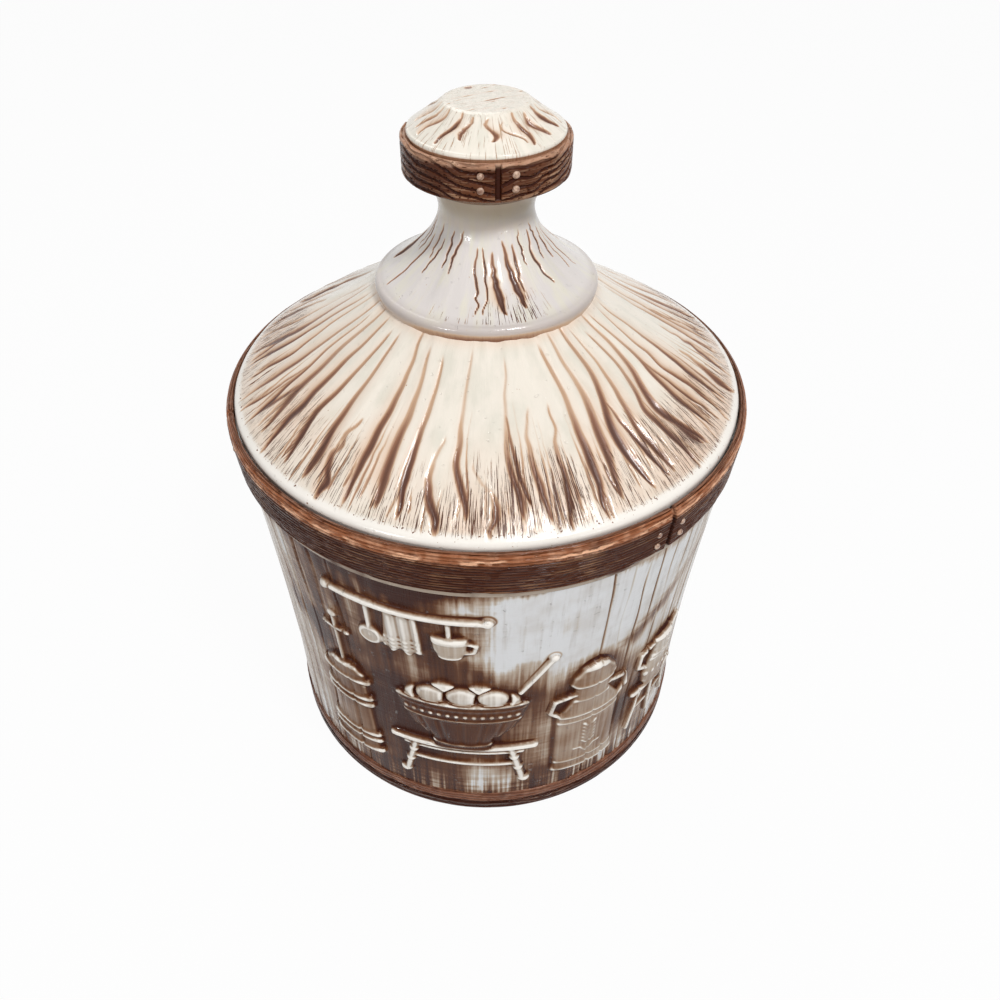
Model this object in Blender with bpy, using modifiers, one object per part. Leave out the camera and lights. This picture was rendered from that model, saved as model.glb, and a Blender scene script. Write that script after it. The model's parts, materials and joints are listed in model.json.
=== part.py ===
"""Cookie jar with a lift-off lid, slip-cast in glazed ceramic.

Two fired pieces. The jar is a round canister with a moulded plank hoop at the rim and another at the
foot, and a kitchen scene in low relief on its front. The lid is a furrowed cone like a thatched roof,
with a bell-shaped tier, a waisted neck and a knob that repeats the cone and the hoop.

Metres, +Z up. The origin is the middle of the foot's underside, and the front faces -Y.
Azimuths are in degrees from the front, positive towards +X.
"""
import math

import bmesh
import bpy
from mathutils import Matrix, Vector

# Round pieces
TURN_STEPS = 48
FORM_STEPS = 8
NAIL_SIDES = 6
NAIL_RINGS = 4
SHARP_ANGLE = 25.0
WELD = 0.00001

# Jar
JAR_H = 0.1768
RIM_R = 0.1020
HOOP_H = 0.0186
HOOP_CROWN_H = 0.0045
HOOP_CROWN_W = 0.0024
HOOP_LIP_T = 0.0032
HOOP_TAPER = 0.0010
HOOP_PROUD = 0.0032
BEAD_H = 0.0041
BEAD_PROUD = 0.0007
WALL_FLARE = 0.0053
WAIST_Z = 0.0400
WALL_T = 0.0055
FLOOR_T = 0.0065
INSIDE_ROUND = 0.0080
MOUTH_LIP = 0.0016
MOUTH_CHAMFER = 0.0010
LEDGE_D = 0.0048
FOOT_H = 0.0138
FOOT_PROUD = 0.0007
FOOT_GROOVE_D = 0.0012
FOOT_EDGE = 0.0024
FOOT_RING_W = 0.0100
BASE_RECESS = 0.0015
WALL_FLARE_SHARE = 1.8

# Lid
SEAT_GAP = 0.0003
LID_PLAY = 0.0004
FLANGE_PLAY = 0.0012
FLANGE_H = 0.0090
FLANGE_T = 0.0050
FLANGE_CHAMFER = 0.0010
LID_T = 0.0055
EDGE_ROUND = 0.0035
EDGE_H = 0.0056
CONE_RISE = 0.0379
CONE_SWELL = 0.0006
TIER_R = 0.0405
TIER_LIP_H = 0.0049
TIER_LIP_IN = 0.0021
TIER_ROUND = 0.0014
TIER_RISE = 0.0248
TIER_CURVE_SHARE = 1.8
NECK_R = 0.0166
NECK_RISE = 0.0082
NECK_SPREAD = 0.0029
NECK_WALL = 0.0076
KNOB_R = 0.0284
KNOB_CHAMFER_H = 0.0048
KNOB_BAND_H = 0.0118
KNOB_BAND_TOP_W = 0.0020
KNOB_GROOVE_D = 0.0006
CAP_LIP_H = 0.0018
CAP_RISE = 0.0080
CAP_TOP_R = 0.0145

# Furrows in the lid
CONE_FURROWS = 60
CONE_FURROW_W = 0.0013
CONE_FURROW_MARGIN = 0.0060
CONE_FURROW_WANDER_SHARE = 0.28
TIER_FURROWS = 18
TIER_FURROW_W = 0.0008
TIER_FURROW_SPAN_SHARES = (0.62, 0.10)
TIER_FURROW_WANDER_SHARE = 0.20
CAP_FURROWS = 17
CAP_FURROW_W = 0.0009
CAP_FURROW_SPAN_SHARES = (0.08, 0.92)
CAP_FURROW_WANDER_SHARE = 0.30
FURROW_LIFT_SHARE = 0.25
FURROW_TIP_SHARE = 0.15

# Plank joints and nail heads
RIM_JOINTS = (38.0, 161.0, 285.0)
KNOB_JOINTS = (7.5, 187.5)
JOINT_W = 0.0018
JOINT_D = 0.0012
NAIL_R = 0.0012
NAIL_PROUD = 0.0006
NAIL_SPREAD = 0.0056
NAIL_ROW_SHARES = (0.30, 0.68)

# Relief on the wall: outlines hold shares of a form's radius and height, top to bottom
RELIEF_D = 0.0026
ROD_W = 0.0036
THIN_ROD_W = 0.0026
RELIEF_STEP = 0.0092

CHURN_AZIMUTH = -37.0
CHURN_Z = 0.0290
CHURN_R = 0.0130
CHURN_H = 0.0620
CHURN_STAFF_H = 0.0300
CHURN_SHARES = (
    (0.00, 1.00), (0.50, 1.00), (0.80, 0.93), (0.80, 0.86), (0.70, 0.84), (0.80, 0.64), (0.90, 0.62),
    (0.81, 0.60), (0.91, 0.20), (1.01, 0.18), (0.92, 0.16), (1.00, 0.00), (0.00, 0.00))

BENCH_AZIMUTH = -6.0
BENCH_Z = 0.0270
BENCH_W = 0.0600
BENCH_H = 0.0260
BENCH_LEG_SHARES = (0.33, 0.42)
BOWL_R = 0.0260
BOWL_H = 0.0350
BOWL_SHARES = (
    (0.00, 1.00), (1.00, 1.00), (1.06, 0.94), (1.00, 0.86), (0.93, 0.64), (0.78, 0.40), (0.50, 0.20),
    (0.46, 0.00), (0.00, 0.00))
EGG_R = 0.0065
EGG_SHARES = ((0.00, 1.00), (0.64, 0.76), (1.00, 0.02), (0.68, -0.74), (0.00, -1.00))
EGG_PLACE_SHARES = (-0.5, 0.0, 0.5)
SPOON_L = 0.0340
SPOON_LEAN = 32.0
SPOON_PLACE_SHARES = (0.68, 0.90)

CAN_AZIMUTH = 26.5
CAN_Z = 0.0270
CAN_R = 0.0148
CAN_H = 0.0760
CAN_SHARES = (
    (0.00, 1.00), (0.35, 0.97), (0.66, 0.90), (0.74, 0.84), (0.56, 0.80), (0.56, 0.70), (0.95, 0.58),
    (1.00, 0.54), (1.00, 0.08), (1.06, 0.05), (1.06, 0.00), (0.00, 0.00))
CAN_HANDLE_SHARES = ((0.45, 0.74), (1.10, 0.72), (1.20, 0.62), (0.80, 0.54))

STOOL_AZIMUTH = 51.0
STOOL_Z = 0.0300
STOOL_W = 0.0290
STOOL_H = 0.0260
STOOL_LEG_SHARES = ((-0.30, -0.50), (0.00, 0.00), (0.30, 0.50))
JUG_R = 0.0110
JUG_H = 0.0330
JUG_SHARES = (
    (0.00, 1.00), (0.66, 1.00), (0.58, 0.80), (0.72, 0.62), (1.00, 0.36), (0.92, 0.16), (0.62, 0.00),
    (0.00, 0.00))
JUG_HANDLE_SHARES = ((-0.50, 0.92), (-1.30, 0.86), (-1.35, 0.60), (-0.80, 0.46))

RAIL_AZIMUTH = -18.0
RAIL_Z = 0.1400
RAIL_W = 0.0620
HANG_L = 0.0200
CUP_R = 0.0070
CUP_H = 0.0130
CUP_SHARES = ((0.00, 1.00), (1.00, 1.00), (0.90, 0.40), (0.60, 0.00), (0.00, 0.00))
CUP_PLACE_SHARE = 0.275
LADLE_R = 0.0055
LADLE_SHARES = ((0.00, 1.00), (1.00, 0.50), (0.80, -0.50), (0.00, -1.00))
LADLE_PLACE_SHARE = -0.225

# Places that follow from the sizes above
WALL_TOP_Z = JAR_H - HOOP_H - BEAD_H
WALL_TOP_R = RIM_R - HOOP_PROUD
WAIST_R = WALL_TOP_R - WALL_FLARE
MOUTH_R = WALL_TOP_R - WALL_T - MOUTH_LIP
GALLERY_R = RIM_R - HOOP_LIP_T
LEDGE_Z = JAR_H - LEDGE_D
FLOOR_Z = BASE_RECESS + FLOOR_T
SEAT_Z = LEDGE_Z + SEAT_GAP
LID_R = GALLERY_R - LID_PLAY
CONE_Z = SEAT_Z + EDGE_H
FLANGE_R = MOUTH_R - FLANGE_PLAY
TIER_Z = CONE_Z + CONE_RISE
TIER_TOP_R = TIER_R - TIER_LIP_IN
NECK_Z = TIER_Z + TIER_LIP_H + TIER_RISE
KNOB_FOOT_R = NECK_R + NECK_SPREAD
KNOB_FOOT_Z = NECK_Z + NECK_RISE
BAND_Z = KNOB_FOOT_Z + KNOB_CHAMFER_H
BAND_TOP_Z = BAND_Z + KNOB_BAND_H
CAP_R = KNOB_R - KNOB_BAND_TOP_W
CAP_Z = BAND_TOP_Z + CAP_LIP_H
TOP_Z = CAP_Z + CAP_RISE


def wall_radius(z):
    """Outside of the jar's wall at a height: upright at the waist, flaring to the rim."""
    share = min(max((z - WAIST_Z) / (WALL_TOP_Z - WAIST_Z), 0.0), 1.0)
    return WAIST_R + WALL_FLARE * share ** WALL_FLARE_SHARE


def cone_height(radius):
    """Height of the lid's cone at a radius, with a slight swell above the edge."""
    share = (LID_R - radius) / (LID_R - TIER_R)
    return CONE_Z + CONE_RISE * share + CONE_SWELL * math.sin(2.0 * math.pi * share)


def tier_radius(share):
    """Radius of the bell-shaped tier, share 0 at its lip and 1 at the neck."""
    return NECK_R + (TIER_TOP_R - NECK_R) * (1.0 - share) ** TIER_CURVE_SHARE


def spread(low, high, count):
    """Evenly spaced values from low to high, both included."""
    return [low + (high - low) * step / (count - 1) for step in range(count)]


def arc(centre, radii, start, end, count):
    """Points on an elliptic arc in the profile plane, angles in degrees from outwards to up."""
    turns = [math.radians(angle) for angle in spread(start, end, count)]
    return [(centre[0] + radii[0] * math.cos(turn), centre[1] + radii[1] * math.sin(turn)) for turn in turns]


def rim_profile():
    """The rim from the ledge inside the mouth, over the hoop's crown, to the foot of the bead."""
    crown_r = RIM_R - HOOP_CROWN_W
    hoop_low_r = RIM_R - HOOP_TAPER
    bead_r = WALL_TOP_R + BEAD_PROUD
    bead_top = WALL_TOP_Z + BEAD_H
    points = [(MOUTH_R, LEDGE_Z - MOUTH_CHAMFER), (MOUTH_R + MOUTH_CHAMFER, LEDGE_Z)]
    points += [(GALLERY_R, LEDGE_Z), (GALLERY_R, JAR_H - HOOP_CROWN_H / 8.0)]
    points += arc((crown_r, JAR_H - HOOP_CROWN_H), (HOOP_CROWN_W, HOOP_CROWN_H), 90.0, 0.0, 5)
    points += [(hoop_low_r, bead_top), (bead_r, bead_top - BEAD_H / 4.0)]
    points += [(bead_r, WALL_TOP_Z + BEAD_H / 4.0)]
    return points


def foot_profile():
    """The foot hoop: two rolls with a groove between them, then the ring that it stands on."""
    foot_r = WAIST_R + FOOT_PROUD
    roll_h = FOOT_H / 2.0
    base_r = foot_r - FOOT_EDGE
    points = [(WAIST_R, FOOT_H)]
    points += [(foot_r, FOOT_H - FOOT_PROUD), (foot_r, roll_h + FOOT_GROOVE_D)]
    points += [(foot_r - FOOT_GROOVE_D, roll_h), (foot_r, roll_h - FOOT_GROOVE_D)]
    points += arc((base_r, FOOT_EDGE), (FOOT_EDGE, FOOT_EDGE), 0.0, -90.0, 4)
    points += [(base_r - FOOT_RING_W, 0.0), (base_r - FOOT_RING_W - BASE_RECESS, BASE_RECESS)]
    points += [(0.0, BASE_RECESS)]
    return points


def jar_profile():
    """The whole jar: inside floor, up the inner wall, over the rim, down the wall and under the foot."""
    inner_low_r = WAIST_R - WALL_T
    corner = (inner_low_r - INSIDE_ROUND, FLOOR_Z + INSIDE_ROUND)
    points = [(0.0, FLOOR_Z)]
    points += arc(corner, (INSIDE_ROUND, INSIDE_ROUND), -90.0, 0.0, 3)
    points += [(wall_radius(z) - WALL_T, z) for z in spread(WAIST_Z, WALL_TOP_Z, 4)]
    points += [(MOUTH_R, WALL_TOP_Z + BEAD_H)]
    points += rim_profile()
    points += [(wall_radius(z), z) for z in spread(WALL_TOP_Z, WAIST_Z, 5)]
    points += foot_profile()
    return points


def knob_profile():
    """The knob: furrowed cap, groove, upright hoop and the chamfer down to the neck."""
    groove_r = CAP_R + KNOB_GROOVE_D
    edge = KNOB_GROOVE_D
    points = [(0.0, TOP_Z + edge / 2.0), (CAP_TOP_R - edge, TOP_Z), (CAP_TOP_R, TOP_Z - edge / 2.0)]
    points += [(CAP_R - CAP_LIP_H / 2.0, CAP_Z), (CAP_R, CAP_Z - CAP_LIP_H / 2.0)]
    points += [(CAP_R, BAND_TOP_Z - KNOB_GROOVE_D), (groove_r, BAND_TOP_Z)]
    points += [(KNOB_R - edge, BAND_TOP_Z), (KNOB_R, BAND_TOP_Z - edge)]
    points += [(KNOB_R, BAND_Z), (KNOB_FOOT_R, KNOB_FOOT_Z)]
    return points


def neck_and_tier_profile():
    """The waisted neck, the bell-shaped tier and its rounded lip."""
    points = []
    for share in spread(0.7, 0.0, 3):
        points.append((NECK_R + NECK_SPREAD * share ** 2, NECK_Z + NECK_RISE * share))
    for share in spread(0.78, 0.0, 4):
        points.append((tier_radius(share), TIER_Z + TIER_LIP_H + TIER_RISE * share))
    points.append((TIER_R - TIER_ROUND / 4.0, TIER_Z + TIER_LIP_H - TIER_ROUND))
    points.append((TIER_R, TIER_Z + TIER_ROUND))
    return points


def cone_profile():
    """The cone from the tier's foot to the rounded edge, which stands in the jar's gallery."""
    slope = math.degrees(math.atan2(CONE_RISE, LID_R - TIER_R))
    points = [(radius, cone_height(radius)) for radius in spread(TIER_R, LID_R - EDGE_ROUND, 4)]
    start = 90.0 - slope
    centre_z = cone_height(LID_R - EDGE_ROUND / 2.0) - EDGE_ROUND * math.sin(math.radians(start))
    edge = arc((LID_R - EDGE_ROUND, centre_z), (EDGE_ROUND, EDGE_ROUND), start, 0.0, 4)
    return points[:-1] + edge + [(LID_R, SEAT_Z)]


def lid_inside_profile():
    """The flange that drops into the mouth, and the hollow that follows the cone up into the neck."""
    inner_r = FLANGE_R - FLANGE_T
    slope = math.atan2(CONE_RISE, LID_R - TIER_R)
    drop = LID_T / math.cos(slope)
    hollow_r = NECK_R - NECK_WALL
    points = [(FLANGE_R, SEAT_Z), (FLANGE_R, SEAT_Z - FLANGE_H + FLANGE_CHAMFER)]
    points += [(FLANGE_R - FLANGE_CHAMFER, SEAT_Z - FLANGE_H), (inner_r + FLANGE_CHAMFER, SEAT_Z - FLANGE_H)]
    points += [(inner_r, SEAT_Z - FLANGE_H + FLANGE_CHAMFER)]
    points += [(radius, cone_height(radius) - drop) for radius in spread(inner_r, TIER_R, 3)]
    points += [(tier_radius(0.45), TIER_Z + TIER_LIP_H / 2.0)]
    points += [(hollow_r, TIER_Z + TIER_LIP_H + TIER_RISE / 2.0), (hollow_r, NECK_Z - NECK_R / 2.0)]
    points += [(hollow_r / 2.0, NECK_Z - hollow_r / 2.0), (0.0, NECK_Z - hollow_r / 2.0)]
    return points


def lid_profile():
    """The whole lid, from the knob's top down the outside and back up the hollow."""
    return knob_profile() + neck_and_tier_profile() + cone_profile() + lid_inside_profile()


def clear_scene():
    """Remove what the file starts with."""
    for item in list(bpy.data.objects):
        bpy.data.objects.remove(item, do_unlink=True)


def new_collection(name):
    """A collection linked to the scene."""
    group = bpy.data.collections.new(name)
    bpy.context.scene.collection.children.link(group)
    return group


def glaze(name, colour, roughness):
    """A glazed ceramic material in one plain colour."""
    material = bpy.data.materials.new(name)
    material.use_nodes = True
    shader = material.node_tree.nodes["Principled BSDF"]
    shader.inputs["Base Color"].default_value = (*colour, 1.0)
    shader.inputs["Roughness"].default_value = roughness
    shader.inputs["Metallic"].default_value = 0.0
    material.diffuse_color = (*colour, 1.0)
    return material


def turned(name, profile, steps, group):
    """A profile turned about Z with a Screw modifier."""
    mesh = bpy.data.meshes.new(name)
    outline = bmesh.new()
    corners = [outline.verts.new((radius, 0.0, z)) for radius, z in profile]
    for first, second in zip(corners, corners[1:]):
        outline.edges.new((first, second))
    outline.to_mesh(mesh)
    outline.free()
    item = bpy.data.objects.new(name, mesh)
    group.objects.link(item)
    screw = item.modifiers.new("Turn", "SCREW")
    screw.axis = "Z"
    screw.angle = 2.0 * math.pi
    screw.steps = steps
    screw.render_steps = steps
    screw.use_merge_vertices = True
    screw.merge_threshold = WELD
    screw.use_smooth_shade = True
    return item


def solid_of(item, group):
    """The evaluated mesh of an object as a new object, welded and in triangles, which stay flat when bent."""
    bpy.context.view_layer.update()
    evaluated = item.evaluated_get(bpy.context.evaluated_depsgraph_get())
    mesh = bpy.data.meshes.new_from_object(evaluated)
    shape = bmesh.new()
    shape.from_mesh(mesh)
    bmesh.ops.remove_doubles(shape, verts=shape.verts, dist=WELD)
    bmesh.ops.triangulate(shape, faces=shape.faces)
    bmesh.ops.recalc_face_normals(shape, faces=shape.faces)
    shape.to_mesh(mesh)
    shape.free()
    name = item.name
    place = item.matrix_world.copy()
    bpy.data.objects.remove(item, do_unlink=True)
    solid = bpy.data.objects.new(name, mesh)
    solid.matrix_world = place
    group.objects.link(solid)
    return solid


def tube_curve(name, paths, group, twist, resolution):
    """One curve object with a tapered tube along each path; a path holds (point, radius) pairs."""
    curve = bpy.data.curves.new(name, "CURVE")
    curve.dimensions = "3D"
    curve.twist_mode = twist
    curve.bevel_depth = 1.0
    curve.bevel_resolution = resolution
    curve.use_fill_caps = True
    for path in paths:
        spline = curve.splines.new("POLY")
        spline.points.add(len(path) - 1)
        for knot, (point, radius) in zip(spline.points, path):
            knot.co = (*point, 1.0)
            knot.radius = radius
    item = bpy.data.objects.new(name, curve)
    group.objects.link(item)
    return item


def hide_tool(item):
    """A cutter or a filler that isn't a piece of its own."""
    item.hide_render = True
    item.display_type = "WIRE"
    return item


def combine(item, tool, operation):
    """Cut a tool from an object, or join it on."""
    step = item.modifiers.new(tool.name, "BOOLEAN")
    step.operation = operation
    step.object = hide_tool(tool)
    step.solver = "EXACT"
    return step


def fuse(name, forms, group):
    """Join overlapping forms into one solid, which takes their place."""
    whole = forms[0]
    for form in forms[1:]:
        combine(whole, form, "UNION")
    solid = solid_of(whole, group)
    solid.name = name
    for form in forms[1:]:
        bpy.data.objects.remove(form, do_unlink=True)
    return solid


def gather(name, items, group):
    """Put tools that don't touch each other into one object, which takes their place."""
    whole = bmesh.new()
    for item in items:
        whole.from_mesh(item.data)
        bpy.data.objects.remove(item, do_unlink=True)
    mesh = bpy.data.meshes.new(name)
    whole.to_mesh(mesh)
    whole.free()
    item = bpy.data.objects.new(name, mesh)
    group.objects.link(item)
    return item


def polar(radius, degrees, z):
    """A point at an azimuth, which is measured from the front."""
    turn = math.radians(degrees)
    return Vector((radius * math.sin(turn), -radius * math.cos(turn), z))


def wander(index, count, phase):
    """A steady, uneven value from -1 to 1, so that neighbours differ and a turn closes on itself."""
    turn = 2.0 * math.pi * index / count
    return 0.6 * math.sin(7.0 * turn + phase) + 0.4 * math.sin(19.0 * turn + 2.3 * phase)


def furrow_path(stations, half_width, swell_share):
    """A tapered groove through stations of (radius, azimuth, height); widest at swell_share."""
    path = []
    last = len(stations) - 1
    for index, (radius, azimuth, z) in enumerate(stations):
        share = index / last
        side = share / swell_share if share < swell_share else (1.0 - share) / (1.0 - swell_share)
        width = half_width * (FURROW_TIP_SHARE + (1.0 - FURROW_TIP_SHARE) * side)
        path.append((polar(radius, azimuth, z + width * FURROW_LIFT_SHARE), width))
    return path


def cone_furrows(group):
    """The cone's main furrows: narrow by the tier, widest near the edge, each a little bent."""
    paths = []
    pitch = 360.0 / CONE_FURROWS
    for index in range(CONE_FURROWS):
        reach = 0.5 + 0.5 * wander(index, CONE_FURROWS, 1.0)
        bend = wander(index, CONE_FURROWS, 2.6)
        outer = LID_R - CONE_FURROW_MARGIN * (1.0 + 0.4 * reach)
        inner = TIER_R + CONE_FURROW_MARGIN * (0.6 + 1.8 * reach)
        stations = []
        for share in spread(0.0, 1.0, 4):
            radius = inner + (outer - inner) * share
            azimuth = pitch * (index + CONE_FURROW_WANDER_SHARE * bend * math.sin(math.pi * 1.5 * share))
            stations.append((radius, azimuth, cone_height(radius)))
        paths.append(furrow_path(stations, CONE_FURROW_W * (0.8 + 0.2 * bend), 0.75))
    return solid_of(tube_curve("cone_furrows", paths, group, "Z_UP", 0), group)


def tier_furrows(group):
    """Thin cracks that run down the tier."""
    paths = []
    pitch = 360.0 / TIER_FURROWS
    for index in range(TIER_FURROWS):
        bend = wander(index, TIER_FURROWS, 0.7)
        top, low = TIER_FURROW_SPAN_SHARES
        stations = []
        for share in spread(top * (1.0 + TIER_FURROW_WANDER_SHARE * bend), low, 3):
            azimuth = pitch * (index + TIER_FURROW_WANDER_SHARE * bend * math.cos(math.pi * share * 2.0))
            stations.append((tier_radius(share), azimuth, TIER_Z + TIER_LIP_H + TIER_RISE * share))
        paths.append(furrow_path(stations, TIER_FURROW_W, 0.6))
    return solid_of(tube_curve("tier_furrows", paths, group, "Z_UP", 0), group)


def cap_furrows(group):
    """Curved furrows round the knob's cap, between its flat top and its rounded lip."""
    paths = []
    pitch = 360.0 / CAP_FURROWS
    low_r = CAP_R - CAP_LIP_H
    for index in range(CAP_FURROWS):
        bend = wander(index, CAP_FURROWS, 1.9)
        stations = []
        for share in spread(*CAP_FURROW_SPAN_SHARES, 4):
            radius = CAP_TOP_R + (low_r - CAP_TOP_R) * share
            azimuth = pitch * (index + CAP_FURROW_WANDER_SHARE * math.sin(math.pi * share + bend))
            stations.append((radius, azimuth, TOP_Z - CAP_RISE * share))
        paths.append(furrow_path(stations, CAP_FURROW_W, 0.5))
    return solid_of(tube_curve("cap_furrows", paths, group, "Z_UP", 0), group)


def joint_slot(name, radius, azimuth, low, high, group):
    """The upright gap between two planks of a hoop."""
    mesh = bpy.data.meshes.new(name)
    box = bmesh.new()
    bmesh.ops.create_cube(box, size=1.0)
    size = Vector((JOINT_W, 2.0 * JOINT_D, high - low))
    place = Matrix.Translation(polar(radius, azimuth, (low + high) / 2.0))
    turn = Matrix.Rotation(math.radians(azimuth), 4, "Z")
    box.transform(place @ turn @ Matrix.Diagonal((*size, 1.0)))
    box.to_mesh(mesh)
    box.free()
    item = bpy.data.objects.new(name, mesh)
    group.objects.link(item)
    return item


def nail_heads(name, radius, joints, low, height, group):
    """Round nail heads in two rows on both sides of each joint, as one object."""
    mesh = bpy.data.meshes.new(name)
    heads = bmesh.new()
    offset = math.degrees(NAIL_SPREAD / radius)
    for joint in joints:
        for side in (-1.0, 1.0):
            for share in NAIL_ROW_SHARES:
                centre = polar(radius + NAIL_PROUD - NAIL_R, joint + side * offset, low + height * share)
                place = Matrix.Translation(centre)
                bmesh.ops.create_uvsphere(
                    heads, u_segments=NAIL_SIDES, v_segments=NAIL_RINGS, radius=NAIL_R, matrix=place)
    heads.to_mesh(mesh)
    heads.free()
    item = bpy.data.objects.new(name, mesh)
    group.objects.link(item)
    return item


def wrap(item, azimuth, base_z):
    """Lay a flat form on the wall: X goes round, Z goes up and -Y goes out from the surface."""
    for corner in item.data.vertices:
        across, inward, up = corner.co
        z = base_z + up
        wall = wall_radius(z)
        corner.co = polar(wall - inward, azimuth + math.degrees(across / wall), z)
    return item


def scaled(shares, across, up):
    """Places in metres from shares of a width or radius and of a height."""
    return [(across * share[0], up * share[1]) for share in shares]


def relief_turned(name, outline, group, azimuth, base_z, across=0.0):
    """A turned form pressed to a low relief; the outline holds (radius, height), top to bottom."""
    item = solid_of(turned(name, outline, FORM_STEPS, group), group)
    widest = max(point[0] for point in outline)
    item.data.transform(Matrix.Diagonal((1.0, min(RELIEF_D / widest, 1.0), 1.0, 1.0)))
    item.data.transform(Matrix.Translation((across, 0.0, 0.0)))
    return wrap(item, azimuth, base_z)


def relief_rod(name, path, width, group, azimuth, base_z):
    """A round bar through (across, up) points, with enough points to follow the wall."""
    points = []
    for first, second in zip(path, path[1:]):
        count = max(1, math.ceil(math.dist(first, second) / RELIEF_STEP))
        for step in range(count):
            share = step / count
            across = first[0] + (second[0] - first[0]) * share
            points.append((across, first[1] + (second[1] - first[1]) * share))
    points.append(path[-1])
    line = [(Vector((across, 0.0, up)), width / 2.0) for across, up in points]
    item = solid_of(tube_curve(name, [line], group, "MINIMUM", 1), group)
    return wrap(item, azimuth, base_z)


def relief_churn(group):
    """A butter churn: a tapered tub with hoops, a lid and the staff of its dasher."""
    outline = scaled(CHURN_SHARES, CHURN_R, CHURN_H)
    forms = [relief_turned("churn_tub", outline, group, CHURN_AZIMUTH, CHURN_Z)]
    staff = [(0.0, CHURN_H - CHURN_R / 2.0), (0.0, CHURN_H + CHURN_STAFF_H)]
    forms.append(relief_rod("churn_staff", staff, THIN_ROD_W, group, CHURN_AZIMUTH, CHURN_Z))
    return fuse("churn", forms, group)


def relief_bench(group):
    """A low bench with splayed legs and a rail between them."""
    top_leg, low_leg = (BENCH_W * share for share in BENCH_LEG_SHARES)
    mid_leg = (top_leg + low_leg) / 2.0
    top = [(-BENCH_W / 2.0, BENCH_H), (BENCH_W / 2.0, BENCH_H)]
    rail = [(-mid_leg, BENCH_H / 2.0), (mid_leg, BENCH_H / 2.0)]
    forms = [relief_rod("bench_top", top, ROD_W, group, BENCH_AZIMUTH, BENCH_Z)]
    forms.append(relief_rod("bench_rail", rail, THIN_ROD_W, group, BENCH_AZIMUTH, BENCH_Z))
    for side in (-1.0, 1.0):
        leg = [(side * top_leg, BENCH_H), (side * low_leg, 0.0)]
        forms.append(relief_rod("bench_leg", leg, ROD_W, group, BENCH_AZIMUTH, BENCH_Z))
    return forms


def relief_bowl(group):
    """A mixing bowl of eggs with a spoon in it, which stands on the bench."""
    base = BENCH_Z + BENCH_H
    forms = [relief_turned("bowl", scaled(BOWL_SHARES, BOWL_R, BOWL_H), group, BENCH_AZIMUTH, base)]
    egg = scaled(EGG_SHARES, EGG_R, EGG_R)
    for share in EGG_PLACE_SHARES:
        place = base + BOWL_H + EGG_R / 3.0
        forms.append(relief_turned("egg", egg, group, BENCH_AZIMUTH, place, share * BOWL_R))
    across, up = scaled([SPOON_PLACE_SHARES], BOWL_R, BOWL_H)[0]
    lean = math.radians(SPOON_LEAN)
    spoon = [(across, up), (across + SPOON_L * math.sin(lean), up + SPOON_L * math.cos(lean))]
    forms.append(relief_rod("spoon", spoon, THIN_ROD_W, group, BENCH_AZIMUTH, base))
    return forms


def relief_can(group):
    """A milk can: straight sides, sloping shoulder, neck, domed cap and two side handles."""
    forms = [relief_turned("can_body", scaled(CAN_SHARES, CAN_R, CAN_H), group, CAN_AZIMUTH, CAN_Z)]
    for side in (-1.0, 1.0):
        loop = scaled(CAN_HANDLE_SHARES, side * CAN_R, CAN_H)
        forms.append(relief_rod("can_handle", loop, THIN_ROD_W, group, CAN_AZIMUTH, CAN_Z))
    return fuse("milk_can", forms, group)


def relief_jug_on_stool(group):
    """A jug on a three-legged stool."""
    seat = [(-STOOL_W / 2.0, STOOL_H), (STOOL_W / 2.0, STOOL_H)]
    forms = [relief_rod("stool_seat", seat, ROD_W, group, STOOL_AZIMUTH, STOOL_Z)]
    for top, foot in STOOL_LEG_SHARES:
        leg = [(STOOL_W * top, STOOL_H), (STOOL_W * foot, 0.0)]
        forms.append(relief_rod("stool_leg", leg, THIN_ROD_W, group, STOOL_AZIMUTH, STOOL_Z))
    base = STOOL_Z + STOOL_H
    forms.append(relief_turned("jug_body", scaled(JUG_SHARES, JUG_R, JUG_H), group, STOOL_AZIMUTH, base))
    grip = scaled(JUG_HANDLE_SHARES, JUG_R, JUG_H)
    forms.append(relief_rod("jug_handle", grip, THIN_ROD_W, group, STOOL_AZIMUTH, base))
    return fuse("stool_and_jug", forms, group)


def relief_rail(group):
    """A rail high on the wall, with a cup and a ladle hung from it."""
    bar = [(-RAIL_W / 2.0, 0.0), (RAIL_W / 2.0, 0.0)]
    forms = [relief_rod("rail", bar, ROD_W, group, RAIL_AZIMUTH, RAIL_Z)]
    cup_x = CUP_PLACE_SHARE * RAIL_W
    cup_top = -HANG_L / 2.0
    hook = [(cup_x, 0.0), (cup_x, cup_top - CUP_H / 4.0)]
    forms.append(relief_rod("cup_hook", hook, THIN_ROD_W, group, RAIL_AZIMUTH, RAIL_Z))
    cup = scaled(CUP_SHARES, CUP_R, CUP_H)
    forms.append(relief_turned("cup", cup, group, RAIL_AZIMUTH, RAIL_Z + cup_top - CUP_H, cup_x))
    ladle_x = LADLE_PLACE_SHARE * RAIL_W
    shaft = [(ladle_x, 0.0), (ladle_x, -HANG_L)]
    forms.append(relief_rod("ladle_shaft", shaft, THIN_ROD_W, group, RAIL_AZIMUTH, RAIL_Z))
    dish = scaled(LADLE_SHARES, LADLE_R, LADLE_R)
    forms.append(relief_turned("ladle_dish", dish, group, RAIL_AZIMUTH, RAIL_Z - HANG_L, ladle_x))
    return fuse("rail_and_tools", forms, group)


def finish_piece(item, group, material):
    """The finished solid of a piece: its material, and smooth shading between its sharp edges."""
    solid = solid_of(item, group)
    solid.data.materials.clear()
    solid.data.materials.append(material)
    solid.data.shade_smooth()
    solid.data.set_sharp_from_angle(angle=math.radians(SHARP_ANGLE))
    return solid


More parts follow.
